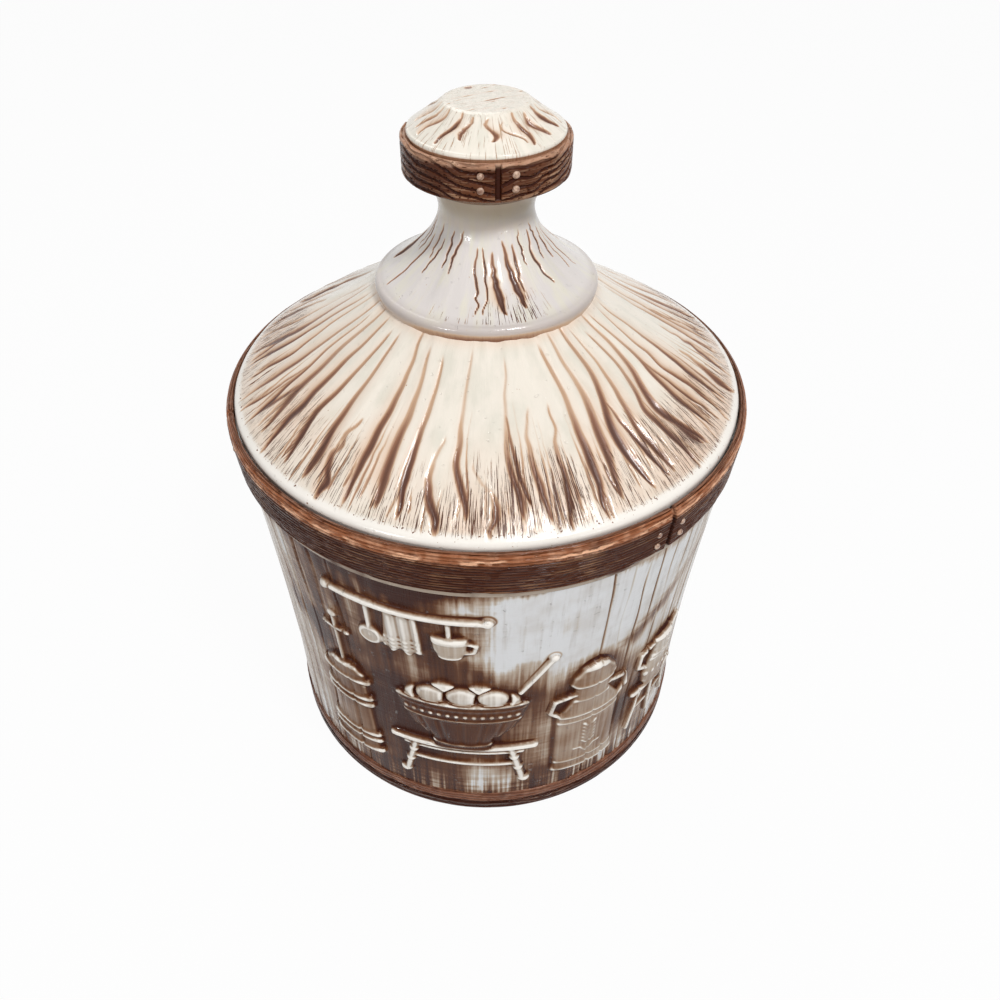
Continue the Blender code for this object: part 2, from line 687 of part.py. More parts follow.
def make_jar(group, tools):
    """The jar, its rim hoop's joints and nails, and the relief on its wall."""
    jar = turned("jar", jar_profile(), TURN_STEPS, group)
    hoop_low = WALL_TOP_Z + BEAD_H
    slots = [joint_slot("rim_joint", RIM_R, azimuth, hoop_low, JAR_H, tools) for azimuth in RIM_JOINTS]
    combine(jar, gather("rim_joints", slots, tools), "DIFFERENCE")
    nail_r = RIM_R - HOOP_TAPER / 2.0
    raised = [nail_heads("rim_nails", nail_r, RIM_JOINTS, hoop_low, HOOP_H - HOOP_CROWN_H, tools)]
    raised += [relief_churn(tools), relief_can(tools), relief_jug_on_stool(tools), relief_rail(tools)]
    raised.append(fuse("bench_and_bowl", relief_bench(tools) + relief_bowl(tools), tools))
    combine(jar, gather("relief", raised, tools), "UNION")
    return finish_piece(jar, group, glaze("jar_glaze", (0.42, 0.33, 0.27), 0.18))


def make_lid(group, tools):
    """The lid: cone, tier, neck and knob in one casting, with its furrows and the knob's hoop."""
    lid = turned("lid", lid_profile(), TURN_STEPS, group)
    cuts = [cone_furrows(tools), tier_furrows(tools), cap_furrows(tools)]
    cuts += [joint_slot("knob_joint", KNOB_R, azimuth, BAND_Z, BAND_TOP_Z, tools) for azimuth in KNOB_JOINTS]
    combine(lid, gather("furrows", cuts, tools), "DIFFERENCE")
    combine(lid, nail_heads("knob_nails", KNOB_R, KNOB_JOINTS, BAND_Z, KNOB_BAND_H, tools), "UNION")
    return finish_piece(lid, group, glaze("lid_glaze", (0.74, 0.66, 0.55), 0.15))


def main():
    """Build the cookie jar."""
    clear_scene()
    pieces = new_collection("cookie_jar")
    tools = new_collection("cutters")
    make_jar(pieces, tools)
    make_lid(pieces, tools)


main()
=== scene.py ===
"""Looks of a cookie jar in glazed ceramic: a canister with plank hoops and a low relief, under a lid
that is furrowed like thatch.

Metres, +Z up, the front faces -Y. Azimuths are measured from the front, positive towards +X. Each
turned surface is a grid of rows down its profile and columns round it, moved along its normals.
"""
import json
import math
from math import cos, pi, radians, sin
from types import SimpleNamespace

import bmesh
import bpy
import numpy as np
from bpy.props import FloatProperty, FloatVectorProperty, IntProperty, PointerProperty
from bpy.types import Operator, Panel, PropertyGroup
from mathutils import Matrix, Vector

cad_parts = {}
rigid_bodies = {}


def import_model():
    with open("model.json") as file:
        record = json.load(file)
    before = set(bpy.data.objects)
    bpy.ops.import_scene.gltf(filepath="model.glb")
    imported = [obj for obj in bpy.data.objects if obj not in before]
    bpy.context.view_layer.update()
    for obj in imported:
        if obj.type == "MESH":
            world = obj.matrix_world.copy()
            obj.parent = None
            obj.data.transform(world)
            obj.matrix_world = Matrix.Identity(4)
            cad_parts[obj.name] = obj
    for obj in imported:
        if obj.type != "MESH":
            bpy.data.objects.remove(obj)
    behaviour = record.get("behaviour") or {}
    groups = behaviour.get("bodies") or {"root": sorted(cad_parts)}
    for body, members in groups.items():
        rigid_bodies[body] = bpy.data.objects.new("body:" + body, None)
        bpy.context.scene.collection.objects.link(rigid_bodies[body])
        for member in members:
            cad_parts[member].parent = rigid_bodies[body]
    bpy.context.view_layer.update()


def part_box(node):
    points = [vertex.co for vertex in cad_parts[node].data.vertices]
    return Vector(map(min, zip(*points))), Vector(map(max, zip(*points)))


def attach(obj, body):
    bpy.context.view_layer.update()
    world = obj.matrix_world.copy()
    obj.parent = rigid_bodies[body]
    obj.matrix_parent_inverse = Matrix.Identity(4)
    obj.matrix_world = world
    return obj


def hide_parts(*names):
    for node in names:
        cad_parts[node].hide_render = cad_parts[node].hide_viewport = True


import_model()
JAR_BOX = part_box("jar")
TURN = 2 * pi

# Columns of the meshes round a turn; the cone's are those of its front and its back half
CONE_COLUMNS = 640, 440
TIER_COLUMNS, CAP_COLUMNS, LID_INSIDE_COLUMNS, JAR_INSIDE_COLUMNS = 520, 420, 220, 300
# Parts of the wall: name, start and end in degrees, columns and rows
SECTORS = (("wall_left", -58, -14, 225, 420), ("wall_front", -14, 30, 225, 420),
           ("wall_right", 30, 74, 225, 420), ("wall_back", 74, 302, 460, 190))
# Columns past a sector's ends, so that blurred fields meet there
MARGIN = 70
# How far the wall's pieces reach in from its outside
WALL_DEPTH = 0.0025
# Neighbouring furrows sweep together: cells of that sweep round the turn, and its seed
SWEEP_CELLS, SWEEP_SEED = 13, 77
# Grooves between boards: where they start and end, and where they stand closer, in degrees
GROOVE_START, GROOVE_END, GROOVES_CLOSE_TO, GROOVES_CLOSE_FROM = 27, 327, 74, 286
# Radius that turns an azimuth on the wall into a distance between boards
BOARD_RADIUS = 0.095
RIM_JOINTS = [radians(38), radians(161), radians(285)]
KNOB_JOINTS = [radians(7.5), radians(187.5)]
# Lamps: power setting, place and size
LAMPS = (("key", (0.33, -0.5, 1), 0.18), ("fill", (-0.55, -0.72, 0.4), 0.09),
         ("low", (0.75, -0.8, 0.24), 0.06), ("back", (-0.15, 0.6, 0.95), 0.5))
# Height that they face, on the axis
LAMP_AIM = 0.14

bl_info = {
    "name": "Cookie Jar Looks",
    "version": (1, 0, 0),
    "blender": (4, 5, 0),
    "location": "View3D > Sidebar > Cookie Jar",
    "description": "Builds the glazed surfaces of a cookie jar with a furrowed lid",
    "category": "Object",
}


def row(kind, **options):
    """A way to write one kind of property: its default, then its description."""

    def write(default, description):
        return kind, {"default": default, "description": description, **options}

    return write


length = row(FloatProperty, min=0, precision=4, unit="LENGTH")
turn = row(FloatProperty, subtype="ANGLE")
number = row(IntProperty, min=1)
factor = row(FloatProperty, min=0)
colour = row(FloatVectorProperty, size=3, min=0, max=1, subtype="COLOR")


def named(group):
    """Make a group's properties from its rows, each named after its identifier."""
    for key, (kind, options) in group.__annotations__.items():
        group.__annotations__[key] = kind(name=key.replace("_", " ").capitalize(), **options)
    return group


@named
class JarSizes(PropertyGroup):
    """Sizes of the canister."""
    height: length(JAR_BOX[1].z, "From the foot to the top of the rim hoop")
    rim_radius: length(JAR_BOX[1].x, "Outside of the rim hoop")
    hoop_height: length(0.0186, "Height of the rim hoop")
    crown_height: length(0.0045, "Height of the rounding on the rim hoop")
    crown_width: length(0.0024, "Width of that rounding")
    hoop_lip: length(0.0032, "Thickness of the hoop round the lid's gallery")
    hoop_taper: length(0.001, "How much narrower the hoop's foot is")
    hoop_proud: length(0.0032, "How far the hoop stands out")
    bead_height: length(0.0041, "Height of the bead under the hoop")
    bead_proud: length(0.0007, "How far the bead stands out")
    wall_flare: length(0.0053, "How much the wall widens to the rim")
    waist_height: length(0.04, "Height below which the wall is upright")
    wall_thickness: length(0.0055, "Thickness of the wall")
    floor_thickness: length(0.0065, "Thickness of the floor")
    inside_round: length(0.008, "Rounding between the floor and the wall")
    mouth_lip: length(0.0016, "How far the ledge stands in")
    mouth_chamfer: length(0.001, "Chamfer of the ledge's edge")
    ledge_depth: length(0.0048, "Depth of the lid's gallery")
    foot_height: length(0.0138, "Height of the foot hoop")
    foot_proud: length(0.0007, "How far the foot hoop stands out")
    foot_groove: length(0.0012, "Depth of the groove between its rolls")
    foot_edge: length(0.0024, "Rounding of the foot's lower edge")
    foot_ring: length(0.01, "Width of the ring that the jar stands on")
    base_recess: length(0.0015, "Depth of the recess under the jar")


@named
class LidSizes(PropertyGroup):
    """Sizes of the lid and its knob."""
    seat_gap: length(0.0003, "Gap under the lid's edge")
    play: length(0.0004, "Gap round the lid's edge")
    flange_play: length(0.0012, "Gap round the flange")
    flange_height: length(0.009, "How far the flange reaches down")
    flange_thickness: length(0.005, "Thickness of the flange")
    flange_chamfer: length(0.001, "Chamfer of the flange")
    thickness: length(0.0055, "Thickness of the cone")
    edge_round: length(0.0035, "Rounding of the cone's edge")
    edge_height: length(0.0056, "Height of the cone's edge")
    cone_rise: length(0.0379, "Height of the cone")
    cone_swell: length(0.0006, "Bulge of the cone above its edge")
    tier_radius: length(0.0405, "Radius of the bell-shaped tier")
    tier_lip: length(0.0049, "Height of the tier's lip")
    tier_lip_in: length(0.0021, "How far the bell starts inside the lip")
    tier_rise: length(0.0248, "Height of the bell")
    neck_radius: length(0.0166, "Radius of the neck")
    neck_rise: length(0.0082, "Height of the neck")
    neck_spread: length(0.0029, "How much the neck widens to the knob")
    neck_wall: length(0.0076, "Thickness of the neck's wall")
    knob_radius: length(0.0284, "Radius of the knob's hoop")
    knob_chamfer: length(0.0048, "Height of the chamfer under the knob")
    band_height: length(0.0118, "Height of the knob's hoop")
    band_top: length(0.002, "Width of the hoop's top")
    knob_groove: length(0.0006, "Groove between the cap and the hoop")
    cap_lip: length(0.0018, "Height of the cap's lip")
    cap_rise: length(0.008, "Height of the cap's slope")
    cap_top_radius: length(0.0145, "Radius of the cap's flat top")


@named
class FurrowSizes(PropertyGroup):
    """Furrows of the lid and grain of the hoops."""
    cone_count: number(58, "Main furrows down the cone")
    cone_width: length(0.0015, "Half width of a main furrow")
    cone_depth: length(0.001, "Depth of a main furrow")
    fine_count: number(110, "Short furrows near the cone's edge")
    tier_count: number(37, "Cracks down the bell-shaped tier")
    tier_width: length(0.00045, "Half width of a crack")
    cap_count: number(22, "Curved furrows round the knob's cap")
    cap_width: length(0.00082, "Half width of a cap furrow")
    rim_pitch: length(0.0014, "Distance between the rim hoop's grain lines")
    knob_pitch: length(0.0026, "Distance between the knob hoop's grain lines")
    grain_depth: length(0.00036, "Depth of the grain lines")
    joint_width: length(0.0018, "Width of the gap between two planks")
    joint_depth: length(0.0012, "Depth of that gap")
    nail_radius: length(0.0012, "Radius of a nail head")
    nail_proud: length(0.0006, "How far a nail head stands out")
    nail_spread: length(0.0056, "Distance of the nails from the joint")
    seed: number(11, "Seed of every random choice")


@named
class ReliefSizes(PropertyGroup):
    """Places and sizes of the forms in low relief on the wall."""
    depth: length(0.0026, "How far the forms stand out")
    rod: length(0.0036, "Width of a bar")
    thin_rod: length(0.0026, "Width of a thin bar")
    churn_azimuth: turn(radians(-37), "Where the churn stands")
    churn_base: length(0.029, "Height of its foot")
    churn_radius: length(0.013, "Half its width")
    churn_height: length(0.062, "Height of the tub")
    churn_staff: length(0.03, "Length of the staff above the tub")
    bench_azimuth: turn(radians(-6), "Where the bench stands")
    bench_base: length(0.027, "Height of its feet")
    bench_width: length(0.06, "Width of the bench")
    bench_height: length(0.026, "Height of the bench")
    bowl_radius: length(0.026, "Half the bowl's width")
    bowl_height: length(0.035, "Height of the bowl")
    egg_radius: length(0.0065, "Half an egg's width")
    spoon_length: length(0.034, "Length of the spoon's handle")
    spoon_lean: turn(radians(32), "How far the spoon leans over")
    can_azimuth: turn(radians(26.5), "Where the milk can stands")
    can_base: length(0.027, "Height of its foot")
    can_radius: length(0.0148, "Half its width")
    can_height: length(0.076, "Height of the can")
    stool_azimuth: turn(radians(51), "Where the stool stands")
    stool_base: length(0.03, "Height of its feet")
    stool_width: length(0.029, "Width of the stool")
    stool_height: length(0.026, "Height of the stool")
    jug_radius: length(0.011, "Half the jug's width")
    jug_height: length(0.033, "Height of the jug")
    rail_azimuth: turn(radians(-18), "Where the rail hangs")
    rail_base: length(0.14, "Height of the rail")
    rail_width: length(0.062, "Width of the rail")
    hang: length(0.02, "How far the tools hang down")
    cup_radius: length(0.007, "Half the cup's width")
    cup_height: length(0.013, "Height of the cup")
    ladle_radius: length(0.0055, "Half the ladle's width")


@named
class GlazeColours(PropertyGroup):
    """Colours of the glazes."""
    ivory: colour((0.785, 0.725, 0.635), "Glaze of the lid")
    bone: colour((0.675, 0.63, 0.605), "Cooler glaze of the tier")
    mist: colour((0.7, 0.66, 0.57), "Greenish clouds in the pale glaze")
    edge: colour((0.84, 0.8, 0.745), "White glaze on rounded edges")
    # Painted shade: the grey laid under the cone's rounded edge and under the tier's lip
    lilac: colour((0.44, 0.375, 0.345), "Grey under the lid's edge")
    pearl: colour((0.685, 0.69, 0.7), "Grey-white glaze of the wall")
    sand: colour((0.45, 0.365, 0.29), "Beige where the wash is thin")
    clay: colour((0.76, 0.69, 0.61), "Warm pale glaze on the relief")
    blush: colour((0.72, 0.52, 0.39), "Warm tint beside the furrows")
    tan: colour((0.53, 0.345, 0.22), "Thin wash")
    brown: colour((0.235, 0.1, 0.052), "Wash in the furrows")
    deep: colour((0.08, 0.024, 0.01), "Deepest wash on the lid")
    umber: colour((0.038, 0.008, 0.003), "Grooves of the hoops")
    # The crown's copper is partly painted light falling on the hoop's top
    copper: colour((0.3, 0.105, 0.045), "Crown of the rim hoop")
    # Painted highlight: the light streaks and the ragged bright line on the hoops' crowns
    copper_highlight: colour((0.8, 0.45, 0.28), "Worn edges of the hoops")
    plank: colour((0.07, 0.018, 0.006), "Sides of the hoops")
    inside: colour((0.74, 0.68, 0.58), "Glaze inside the jar")


@named
class StageSizes(PropertyGroup):
    """Camera, floor and lamps."""
    camera_back: length(0.2846, "How far the camera is in front of the axis")
    camera_height: length(0.3721, "Height of the camera")
    camera_drop: turn(radians(43.04), "How far the camera looks down")
    focal_share: factor(0.857, "Focal length as a share of the image's width")
    shift: factor(0.0135, "Sideways shift of the image")
    floor_size: length(6, "Side of the floor")
    floor_colour: colour((0.62, 0.62, 0.62), "Colour of the floor")
    floor_glow: factor(0.96, "Share of plain white in the floor as it is seen")
    world: factor(0.3, "Brightness of the surrounding light")
    key: factor(6.6, "Power of the main lamp, in watts")
    fill: factor(2.1, "Power of the side lamp, in watts")
    low: factor(1, "Power of the low lamp in front, in watts")
    back: factor(2.6, "Power of the lamp behind, in watts")


def places(scene):
    """The sizes of the jar and the lid, and the heights and radii that follow from them."""
    jar, lid, at = scene.jar_sizes, scene.lid_sizes, SimpleNamespace()
    at.bead_top = jar.height - jar.hoop_height
    at.wall_top = at.bead_top - jar.bead_height
    at.wall_top_radius = jar.rim_radius - jar.hoop_proud
    at.waist_radius = at.wall_top_radius - jar.wall_flare
    at.mouth_radius = at.wall_top_radius - jar.wall_thickness - jar.mouth_lip
    at.gallery_radius = jar.rim_radius - jar.hoop_lip
    at.ledge = jar.height - jar.ledge_depth
    at.floor = jar.base_recess + jar.floor_thickness
    at.seat = at.ledge + lid.seat_gap
    at.radius = at.gallery_radius - lid.play
    at.cone = at.seat + lid.edge_height
    at.flange_radius = at.mouth_radius - lid.flange_play
    at.tier = at.cone + lid.cone_rise
    at.tier_top_radius = lid.tier_radius - lid.tier_lip_in
    at.bell = at.tier + lid.tier_lip
    at.neck = at.bell + lid.tier_rise
    at.knob_foot_radius = lid.neck_radius + lid.neck_spread
    at.knob_foot = at.neck + lid.neck_rise
    at.band = at.knob_foot + lid.knob_chamfer
    at.band_top = at.band + lid.band_height
    at.cap_radius = lid.knob_radius - lid.band_top
    at.cap = at.band_top + lid.cap_lip
    at.top = at.cap + lid.cap_rise
    return jar, lid, at


def wall_radius(scene, z):
    """Outside of the wall at a height: upright at the waist, flaring to the rim."""
    jar, _, at = places(scene)
    share = np.clip((z - jar.waist_height) / (at.wall_top - jar.waist_height), 0, 1)
    return at.waist_radius + jar.wall_flare * share ** 1.8


def cone_height(scene, radius):
    """Height of the cone at a radius."""
    _, lid, at = places(scene)
    share = (at.radius - radius) / (at.radius - lid.tier_radius)
    return at.cone + lid.cone_rise * share + lid.cone_swell * np.sin(TURN * share)


def bell_radius(scene, share):
    """Radius of the bell at a share of its height, from its lip to the neck."""
    _, lid, at = places(scene)
    return lid.neck_radius + (at.tier_top_radius - lid.neck_radius) * (1 - share) ** 1.8


def ease(value, low, high):
    """0 below low, 1 above high and smooth between them."""
    share = np.clip((value - low) / (high - low), 0, 1)
    return share * share * (3 - 2 * share)


def hump(value, middle, width):
    """A round hump of height 1."""
    return np.exp(-((value - middle) / width) ** 2)


def wrapped(angle):
    """An angle brought between minus and plus half a turn."""
    return (angle + pi) % TURN - pi


def lattice(across, along, cells, seed):
    """Smooth random values from -1 to 1 on a grid of cells that closes on itself both ways."""
    table = np.random.default_rng(seed).uniform(-1, 1, (cells[1], cells[0]))
    left, low = np.floor(across).astype(int), np.floor(along).astype(int)
    right_share, high_share = ease(across - left, 0, 1), ease(along - low, 0, 1)

    def line(index):
        cells_there = table[index % cells[1], left % cells[0]], table[index % cells[1], (left + 1) % cells[0]]
        return cells_there[0] * (1 - right_share) + cells_there[1] * right_share

    return line(low) * (1 - high_share) + line(low + 1) * high_share


def ring_noise(azimuth, along, around, step, seed, octaves=2):
    """Noise round a turned surface: cells around the turn, and one cell each step along it."""
    total = 0
    for octave in range(octaves):
        scale = 2 ** octave
        across = azimuth / TURN * around * scale
        total = total + lattice(across, along / step * scale, (around * scale, 97), seed + octave) / scale
    return total


def arc(centre, radii, start, end, count):
    """Points on an elliptic arc in the profile plane, in degrees from outwards to up."""
    turns = np.radians(np.linspace(start, end, count))
    return [(centre[0] + radii[0] * cos(angle), centre[1] + radii[1] * sin(angle)) for angle in turns]


def dense(points, step):
    """A profile with points no further apart than a step; its corners stay."""
    made = [points[0]]
    for first, second in zip(points, points[1:]):
        count = max(1, math.ceil(math.dist(first, second) / step))
        for share in (index / count for index in range(1, count + 1)):
            made.append((first[0] + (second[0] - first[0]) * share, first[1] + (second[1] - first[1]) * share))
    return made


def profile_normals(points, loop=True):
    """Outward normals of a profile that runs down its outer side."""
    points = np.array(points)
    before, after = np.roll(points, 1, 0), np.roll(points, -1, 0)
    if not loop:
        before[0], after[-1] = points[0], points[-1]
    normal = (after - before)[:, ::-1] * (-1, 1)
    return normal / np.maximum(np.linalg.norm(normal, axis=1, keepdims=True), 1e-9)


def rows_along(profile):
    """Distance down a profile at each of its points."""
    steps = np.linalg.norm(np.diff(np.array(profile), axis=0), axis=1)
    return np.concatenate([[0], np.cumsum(steps)])[:, None]


def round_turn(columns):
    """Even azimuths round a turn."""
    return np.linspace(0, TURN, columns, endpoint=False)[None, :]


def turned_mesh(name, profile, azimuths, lift=0, poles=False, wedge=False):
    """A closed turned surface. The profile is a loop, or runs from pole to pole; a wedge has end faces."""
    profile = np.array(profile)
    normals = profile_normals(profile, loop=not poles)
    radius = profile[:, :1] + normals[:, :1] * lift
    x, y = radius * np.sin(azimuths), -radius * np.cos(azimuths)
    points = np.stack([x, y, profile[:, 1:] + normals[:, 1:] * lift + 0 * x], 2)
    index = np.arange(x.size).reshape(x.shape)
    grid = index if wedge else np.hstack([index, index[:, :1]])
    grid = grid if poles else np.vstack([grid, grid[:1]])
    corners = np.stack([grid[:-1, :-1], grid[1:, :-1], grid[1:, 1:], grid[:-1, 1:]], 2).reshape(-1, 4)
    ends = [index[::-1, 0].tolist(), index[:, -1].tolist()] if wedge else []
    mesh = bpy.data.meshes.new(name)
    mesh.from_pydata(points.reshape(-1, 3).tolist(), [], corners.tolist() + ends)
    return mesh


def add_values(mesh, **fields):
    """Store numbers on the points of a mesh, for its material."""
    for name, values in fields.items():
        values = np.ascontiguousarray(values, dtype=np.float32)
        kind = "FLOAT_VECTOR" if values.shape[-1] == 3 and values.ndim == 3 else "FLOAT"
        layer = mesh.attributes.new(name, kind, "POINT")
        layer.data.foreach_set("vector" if kind == "FLOAT_VECTOR" else "value", values.ravel())


def add_piece(scene, mesh, material, body, replaces=None, sharp=50, weld=True):
    """Make a finished piece of a mesh, which rides on a body."""
    if weld:
        shape = bmesh.new()
        shape.from_mesh(mesh)
        bmesh.ops.remove_doubles(shape, verts=shape.verts, dist=0.000002)
        bmesh.ops.dissolve_degenerate(shape, edges=shape.edges, dist=0.000001)
        shape.to_mesh(mesh)
        shape.free()
    mesh.shade_smooth()
    mesh.set_sharp_from_angle(angle=radians(sharp))
    mesh.materials.clear()
    mesh.materials.append(material)
    piece = bpy.data.objects.new(mesh.name, mesh)
    scene.collection.objects.link(piece)
    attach(piece, body)
    if replaces:
        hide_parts(replaces)


class Value:
    """A socket that plain arithmetic joins to new nodes of its tree."""

    def __init__(self, nodes, socket):
        self.nodes, self.socket = nodes, socket

    def __add__(self, other):
        return self.nodes.math("ADD", self, other)

    def __sub__(self, other):
        return self.nodes.math("SUBTRACT", self, other)

    def __rsub__(self, other):
        return self.nodes.math("SUBTRACT", other, self)

    def __mul__(self, other):
        return self.nodes.math("MULTIPLY", self, other)

    def __truediv__(self, other):
        return self.nodes.math("DIVIDE", self, other)

    __radd__, __rmul__ = __add__, __mul__


class Nodes:
    """Makes the nodes of one shader or geometry tree."""

    def __init__(self, tree):
        self.tree = tree

    def node(self, kind, settings=None, inputs=None):
        """A node: its settings first, then the values or links of its sockets."""
        made = self.tree.nodes.new(kind)
        for name, value in (settings or {}).items():
            if name != "stops":
                setattr(made, name, value)
                continue
            stops = made.color_ramp.elements
            while len(stops) < len(value):
                stops.new(0.5)
            for stop, (place, shade) in zip(stops, value):
                stop.position, stop.color = place, (*shade, 1)
        for name, value in (inputs or {}).items():
            if isinstance(value, Value):
                self.tree.links.new(value.socket, made.inputs[name])
            else:
                made.inputs[name].default_value = value
        return made

    def get(self, kind, settings=None, inputs=None, output=0):
        """One output of a new node."""
        return Value(self, self.node(kind, settings, inputs).outputs[output])

    def math(self, operation, *terms):
        """A Math node."""
        return self.get("ShaderNodeMath", {"operation": operation}, dict(enumerate(terms)))

    def most(self, first, second):
        """The higher of two values."""
        return self.math("MAXIMUM", first, second)

    def least(self, first, second):
        """The lower of two values."""
        return self.math("MINIMUM", first, second)

    def ease(self, value, low, high):
        """0 below low, 1 above high and smooth between them."""
        return self.get("ShaderNodeMapRange", {"interpolation_type": "SMOOTHSTEP"}, {0: value, 1: low, 2: high})

    def scaled(self, vector, factors):
        """A vector with each part scaled."""
        return self.get("ShaderNodeVectorMath", {"operation": "MULTIPLY"}, {0: vector, 1: factors})

    def split(self, vector):
        """The three parts of a vector."""
        return [Value(self, part) for part in self.node("ShaderNodeSeparateXYZ", None, {0: vector}).outputs]

    def join(self, *parts):
        """A vector of three parts."""
        return self.get("ShaderNodeCombineXYZ", None, dict(enumerate(parts)))

    def noise(self, vector, scale, detail=2, roughness=0.5, seed=0):
        """Noise with a seed. The scale is one number, or one for each axis."""
        if isinstance(scale, tuple):
            vector, scale = self.scaled(vector, scale), 1
        inputs = {"Vector": vector, "W": seed, "Scale": scale, "Detail": detail, "Roughness": roughness}
        return self.get("ShaderNodeTexNoise", {"noise_dimensions": "4D"}, inputs)

    def mix(self, share, first, second):
        """Two colours mixed."""
        first, second = (shade if isinstance(shade, Value) else (*shade, 1) for shade in (first, second))
        return self.get("ShaderNodeMix", {"data_type": "RGBA"}, {0: share, 6: first, 7: second}, 2)

    def ramp(self, value, *stops):
        """A colour ramp, with its stops as places and colours."""
        return self.get("ShaderNodeValToRGB", {"stops": stops}, {0: value})

    def field(self, name, output=2):
        """A number stored on the mesh's points, or a vector from output 1."""
        return self.get("ShaderNodeAttribute", {"attribute_name": name}, None, output)

    def fields(self, names):
        """Several stored numbers."""
        return [self.field(name) for name in names.split()]

    def place(self):
        """Object coordinates."""
        return self.get("ShaderNodeTexCoord", None, None, 3)

    def seen(self):
        """1 for the rays that show the plain background: the camera's, glossy and transmitted ones."""
        rays = self.node("ShaderNodeLightPath").outputs
        camera, clear, glossy = (
            Value(self, rays[name]) for name in ("Is Camera Ray", "Is Transmission Ray", "Is Glossy Ray"))
        return self.most(self.most(camera, clear), glossy)


def fresh_nodes(owner):
    """The emptied nodes of a new material or world."""
    owner.use_nodes = True
    owner.node_tree.nodes.clear()
    return Nodes(owner.node_tree)


class Glaze:
    """A glazed ceramic material with a clear coat."""

    def __init__(self, name, coat=0.5, shine=0.5):
        self.material = bpy.data.materials.new(name)
        self.nodes = fresh_nodes(self.material)
        settings = {"Specular IOR Level": shine, "Coat Weight": coat, "Coat Roughness": 0.04}
        self.shader = self.nodes.node("ShaderNodeBsdfPrincipled", None, settings)
        self.nodes.node("ShaderNodeOutputMaterial", None, {0: Value(self.nodes, self.shader.outputs[0])})

    def finish(self, shade, rough, relief, distance, coat=None):
        """Link the colour, roughness, bump and, where it varies, the clear coat."""
        bump = self.nodes.get("ShaderNodeBump", None, {"Strength": 1, "Distance": distance, "Height": relief})
        for name, value in (("Coat Weight", coat), ("Base Color", shade), ("Roughness", rough), ("Normal", bump)):
            if value is not None:
                self.nodes.tree.links.new(value.socket, self.shader.inputs[name])
        return self.material


def furrow_glaze(tone, name, base, grain):
    """Pale glaze over a brown wash, which stays in the furrows and in brushed hairlines beside them."""
    glaze = Glaze(name, 0.18, 0.38)
    nodes = glaze.nodes
    noise, ease_in, mix, most = nodes.noise, nodes.ease, nodes.mix, nodes.most
    flow, place = nodes.field("flow", 1), nodes.place()
    wash, brush, tint, rim, below, shadow = nodes.fields("wash brush tint rim below shadow")
    hair = noise(flow, (grain, grain, 75), 2, 0.5, 2)
    fray = noise(flow, (grain, grain, 230), 3, 0.65, 7)
    soft = noise(flow, (grain * 0.32, grain * 0.32, 45), 3, 0.6, 8)
    cloud = noise(flow, (9, 9, 75), 4, 0.55, 4)
    speck = noise(place, 950, 1, 0.5, 3)
    dimple = ease_in(noise(place, 560, 1, 0.5, 13), 0.69, 0.75)
    strand = 0.66 * hair + 0.34 * fray
    dashes = ease_in(strand + 0.1 * brush, 0.585, 0.625) * ease_in(brush, 0.05, 0.3)
    amount = wash * (0.8 + 0.35 * soft) + (strand - 0.5) * wash * (1 - wash) * (1.2 + 3.2 * brush)
    dark_dash = dashes * (0.66 + 0.55 * cloud)
    amount = most(most(amount, 0), dark_dash) + 0.25 * dark_dash * wash
    border = rim * (1 - rim) * 4
    dots = ease_in(speck + 0.04 * rim + 0.1 * border, 0.755, 0.8) * (0.35 + 0.3 * rim + 0.35 * border)
    amount = most(amount, dots)
    warm = nodes.least(tint * (0.3 + cloud + 0.5 * soft), 1)
    shade = mix(warm, mix(ease_in(cloud, 0.42, 0.66), base, tone.mist), tone.blush)
    shade = mix(ease_in(rim + 0.9 * (fray - 0.5), 0.25, 0.75) * 0.85, shade, tone.edge)
    # Painted shade: 'below' greys the underside of the cone's edge and of the tier's lip, and 'shadow' paints the
    # knob's shadow on the neck
    shade = mix(shadow, mix(below, shade, tone.lilac), (0.335, 0.275, 0.195))
    stained = nodes.ramp(amount, (0, (0.7, 0.58, 0.47)), (0.25, tone.tan), (0.6, tone.brown), (0.95, tone.deep))
    shade = mix(ease_in(amount, 0, 0.26), shade, stained)
    rough = 0.15 + 0.15 * nodes.least(amount, 1) + 0.1 * cloud
    relief = 0.5 * cloud - 0.45 * dashes + 0.3 * fray * (0.3 + brush) - 0.35 * amount + 0.25 * soft - 0.5 * dimple
    return glaze.finish(shade, rough, relief, 0.00028)


